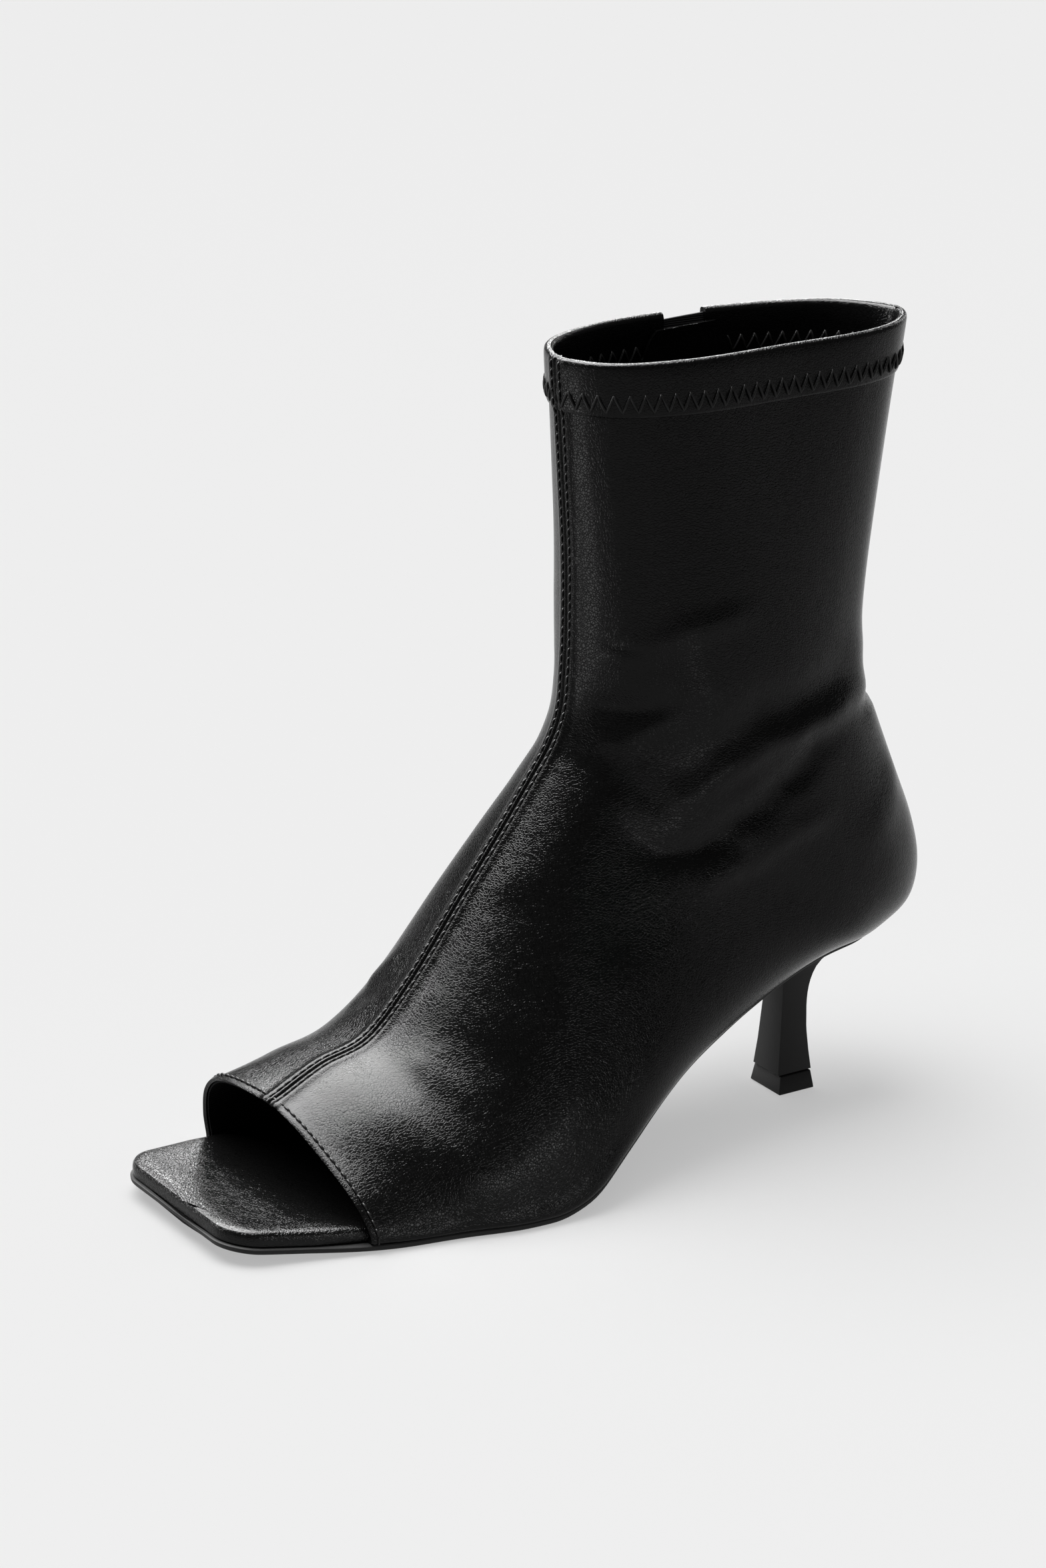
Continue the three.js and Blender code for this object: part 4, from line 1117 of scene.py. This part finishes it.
# y and half widths along the sole's plan, with the toe's corners and the seat's end rounded.
def planStations(steps, corners):
    stations = []
    seatEnd = form["seatReach"] * form["heelReach"]
    seatRound = seatEnd * form["seatRound"]

    def add(y, cut, share):
        stations.append((y, *((soleHalf(y, n) - cut) * share for n in (1, 2))))

    for k in range(corners + 1):
        angle = k / corners * math.pi / 2
        cut = form["toeCorner"] * (1 - math.sin(angle))
        add(-form["toeReach"] + form["toeCorner"] * (1 - math.cos(angle)), cut, 1)
    start, end = -form["toeReach"] + form["toeCorner"], seatEnd - seatRound
    for k in range(1, steps):
        add(start + (end - start) * k / steps, 0, 1)
    for k in range(corners + 1):
        angle = k / (corners + 0.5) * math.pi / 2
        add(end + seatRound * math.sin(angle), 0, math.cos(angle))
    return stations


# A plate on the sole's plan. edge: rows of (inset, lift) from the underside's rim to the top's rim.
def addPlate(name, edge, steps=110, corners=12, extra=None):
    stations = planStations(steps, corners)
    outline = [Vector((s[1], s[0])) for s in stations] + [Vector((-s[2], s[0])) for s in reversed(stations)]
    count = len(outline)

    def ring(inset, lift, flat=False):
        row = []
        for i in list(range(count)) + [0]:
            p = outline[i]
            if flat:
                x, y = 0.0, p.y
            else:
                before, after = outline[i - 1], outline[(i + 1) % count]
                out = Vector((after.y - before.y, before.x - after.x)).normalized()
                more = extra(p.y) if extra else 0
                x, y = p.x - out.x * (inset + more), p.y - out.y * (inset + more)
            row.append(Vector((x, y, undersideZ(x, y) + lift)))
        return row

    closing = [ring(0, edge[n][1], flat=True) for n in (0, -1)]
    piece = addSheet(name, [closing[0], *(ring(inset, lift) for inset, lift in edge), closing[1]])
    faceOutwards(piece)
    return piece


outsoleEdge = {"edge": [(1.1, 0), (0.5, 0.12), (0.15, 0.5), (0.05, 0.9), (0, 1.5), (0.25, 1.8)]}
footbedEdge = {
    "low": form["outsole"] + form["gap"],
    # inset and height over the footbed's underside: a leather edge rolled over 4 mm of foam
    "edge": [
        (1.0, 0), (0.7, 0.15), (0.6, 0.6), (0.6, 2.1), (0.75, 2.9), (1.2, 3.6), (2.0, 4.05), (3.2, 4.2),
        (6, 4.2),
    ],
    "wallInset": 1.5, "wallStart": 6, "wallRun": 14,
}

outsole = addPlate("outsole_rubber", outsoleEdge["edge"])
finishPiece(outsole, "rubber", smooth=30)
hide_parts("outsole")


# Further inset where the upper's wall stands beside the footbed, behind the toe opening.
def behindOpening(y):
    share = (y - frontPoint(0).y + footbedEdge["wallStart"]) / footbedEdge["wallRun"]
    return footbedEdge["wallInset"] * min(max(share, 0), 1)


footbedRim = [(inset, footbedEdge["low"] + lift) for inset, lift in footbedEdge["edge"]]
footbed = addPlate("footbed_leather", footbedRim, extra=behindOpening)
finishPiece(footbed, "footbed", smooth=30)
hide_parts("footbed")


# A copy of a CAD piece with its flat faces joined and its edges softened.
def soften(node, name, width, segments, material, body="boot"):
    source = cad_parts[node]
    piece = bpy.data.objects.new(name, source.data.copy())
    bpy.context.scene.collection.objects.link(piece)
    selectOnly(piece)
    bpy.ops.object.mode_set(mode="EDIT")
    bpy.ops.mesh.select_all(action="SELECT")
    bpy.ops.mesh.remove_doubles(threshold=0.01 * mm)
    bpy.ops.mesh.dissolve_limited(angle_limit=math.radians(2))
    bpy.ops.object.mode_set(mode="OBJECT")
    applyModifier(piece, "BEVEL", {"width": width * mm, "segments": segments, "limit_method": "ANGLE",
                                   "angle_limit": math.radians(38), "harden_normals": False})
    finishPiece(piece, material, body)
    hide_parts(node)


soften("heel", "heel_block", 0.5, 3, "block")
soften("top_lift", "heel_lift", 0.35, 2, "rubber")
print("sole and heel done")

# Zip: tape, coil, placket, slider and pull

zipParts = {
    "tapeDepth": 0.35, "tapeThickness": 0.5, "tapeUnder": 1.8, "tapeStep": 0.9, "tapeTop": 1,
    "placketDepth": 2.0, "placketThickness": 0.9, "placketHalf": 13.0, "placketTop": 3, "placketCorner": 7,
    "placketNarrow": 0.55, "overFootbed": 1.4,
}
coil = {
    "from": 0.02, "till": 0.93, "step": 0.0005,  # shares of the zip's length
    "pitch": 1.5, "firstTooth": 0.4, "rimGap": 2.5, "narrowest": 3.3,
    "out": 1.45, "top": 0.55, "half": 0.45, "lean": 0.32, "bow": 0.35, "sink": 0.1,
    "long": 3.248, "wide": 1.05, "thick": 1.1,
}


def makeTape():
    rows = []
    columns = 12
    for n, (middle, _, half) in enumerate(zipTrack):
        if middle.y > form["rimHeight"] - zipParts["tapeTop"]:
            continue
        row = []
        for k in range(columns + 1):
            depth = zipParts["tapeDepth"] + (zipParts["tapeStep"] if k in (0, columns) else 0)
            across = (half + zipParts["tapeUnder"]) * (-1 + 2 * k / columns)
            row.append(onZip(n / zipSteps, across, -depth)[0])
        rows.append(row)
    piece = addSheet("zip_cloth_tape", rows)
    faceAway(piece)
    thicken(piece, zipParts["tapeThickness"])
    finishPiece(piece, "tape")
    return piece


def makeCoil():
    # one filament loop: a rounded bar that leans along the zip, copied down both sides
    bpy.ops.object.select_all(action="DESELECT")
    bpy.ops.mesh.primitive_uv_sphere_add(segments=8, ring_count=6, radius=0.5)
    loop = bpy.context.object
    base = [v.co.copy() for v in loop.data.vertices]
    faces = [tuple(f.vertices) for f in loop.data.polygons]
    bpy.data.objects.remove(loop)
    points, polygons = [], []
    for sign in (-1, 1):
        travelled, last, v = 0.0, None, coil["from"]
        wanted = coil["firstTooth"] + (0 if sign > 0 else coil["pitch"] / 2)
        while v < coil["till"]:
            middle, _, half = zipAt(v)
            if middle.y > form["rimHeight"] - coil["rimGap"] or half < coil["narrowest"]:
                v += coil["step"]
                continue
            if last is not None:
                travelled += (middle - last).length
            last = middle
            if travelled >= wanted:
                wanted += coil["pitch"]
                centre, normal = onZip(v, sign * coil["out"], coil["top"] - coil["half"])
                ahead = (onZip(v + 0.004, 0, 0)[0] - onZip(v, 0, 0)[0]).normalized()
                side = normal.cross(ahead).normalized() * sign
                if (onZip(v, sign * 1.0, 0)[0] - onZip(v, 0, 0)[0]).dot(side) < 0:
                    side = -side
                long = (side + ahead * coil["lean"]).normalized()
                wide = normal.cross(long).normalized()
                start = len(points)
                for p in base:
                    rise = p.y * coil["thick"] + coil["bow"] * (1 - (2 * p.z) ** 2) - coil["sink"]
                    reach = centre + long * (p.z * coil["long"]) + wide * (p.x * coil["wide"])
                    points.append(reach + normal * rise)
                polygons += [tuple(start + i for i in face) for face in faces]
            v += coil["step"]
    mesh = bpy.data.meshes.new("zip_coil")
    mesh.from_pydata([place3d(p) for p in points], [], polygons)
    piece = bpy.data.objects.new("zip_coil", mesh)
    bpy.context.scene.collection.objects.link(piece)
    faceOutwards(piece)
    finishPiece(piece, "coil", smooth=80)


def makePlacket():
    rows = []
    columns = 14
    for n, (middle, _, _) in enumerate(zipTrack[:112]):
        fromTop = form["rimHeight"] - zipParts["placketTop"] - middle.y
        if fromTop < 0:
            continue
        narrow = zipParts["placketNarrow"]
        corner = min(1.0, narrow + (1 - narrow) * math.sqrt(min(fromTop / zipParts["placketCorner"], 1)))
        reach = zipParts["placketHalf"] * corner
        row = []
        for k in range(columns + 1):
            spot, _ = onZip(n / zipSteps, reach * (-1 + 2 * k / columns), -zipParts["placketDepth"])
            spot.z = max(spot.z, featherZ(spot.x, spot.y) + form["footbed"] + zipParts["overFootbed"])
            row.append(spot)
        rows.append(row)
    piece = addSheet("zip_flap", rows)
    faceAway(piece)
    thicken(piece, zipParts["placketThickness"])
    finishPiece(piece, "leather")
    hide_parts("zip_placket")


tape = makeTape()
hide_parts("zip_tape")
makeCoil()
makePlacket()
soften("zip_slider", "zip_slider_cast", 0.22, 2, "metal")
soften("zip_pull", "zip_pull_tab", 0.3, 3, "metal", "pull")
print("zip done")

# Floor: matt backdrop paper

floorPaper = {"size": 14, "height": -0.0002, "colour": "#f3f3f3", "roughness": 0.75}


def addFloor():
    bpy.ops.object.select_all(action="DESELECT")
    bpy.ops.mesh.primitive_plane_add(size=floorPaper["size"], location=(0, 0, floorPaper["height"]))
    floor = bpy.context.object
    floor.name = "floor"
    values = {"Base Color": linear(floorPaper["colour"]), "Roughness": floorPaper["roughness"], "IOR": 1.35}
    material = newMaterial("matt_paper_floor", values)[0]
    floor.data.materials.append(material)
    for piece in [piece for piece in bpy.context.scene.objects if piece.type == "MESH"]:
        receivers["floor" if piece == floor else "boot"].objects.link(piece)


addFloor()

viewSettings = bpy.context.scene.view_settings
viewSettings.view_transform = "Standard"
viewSettings.look = "None"
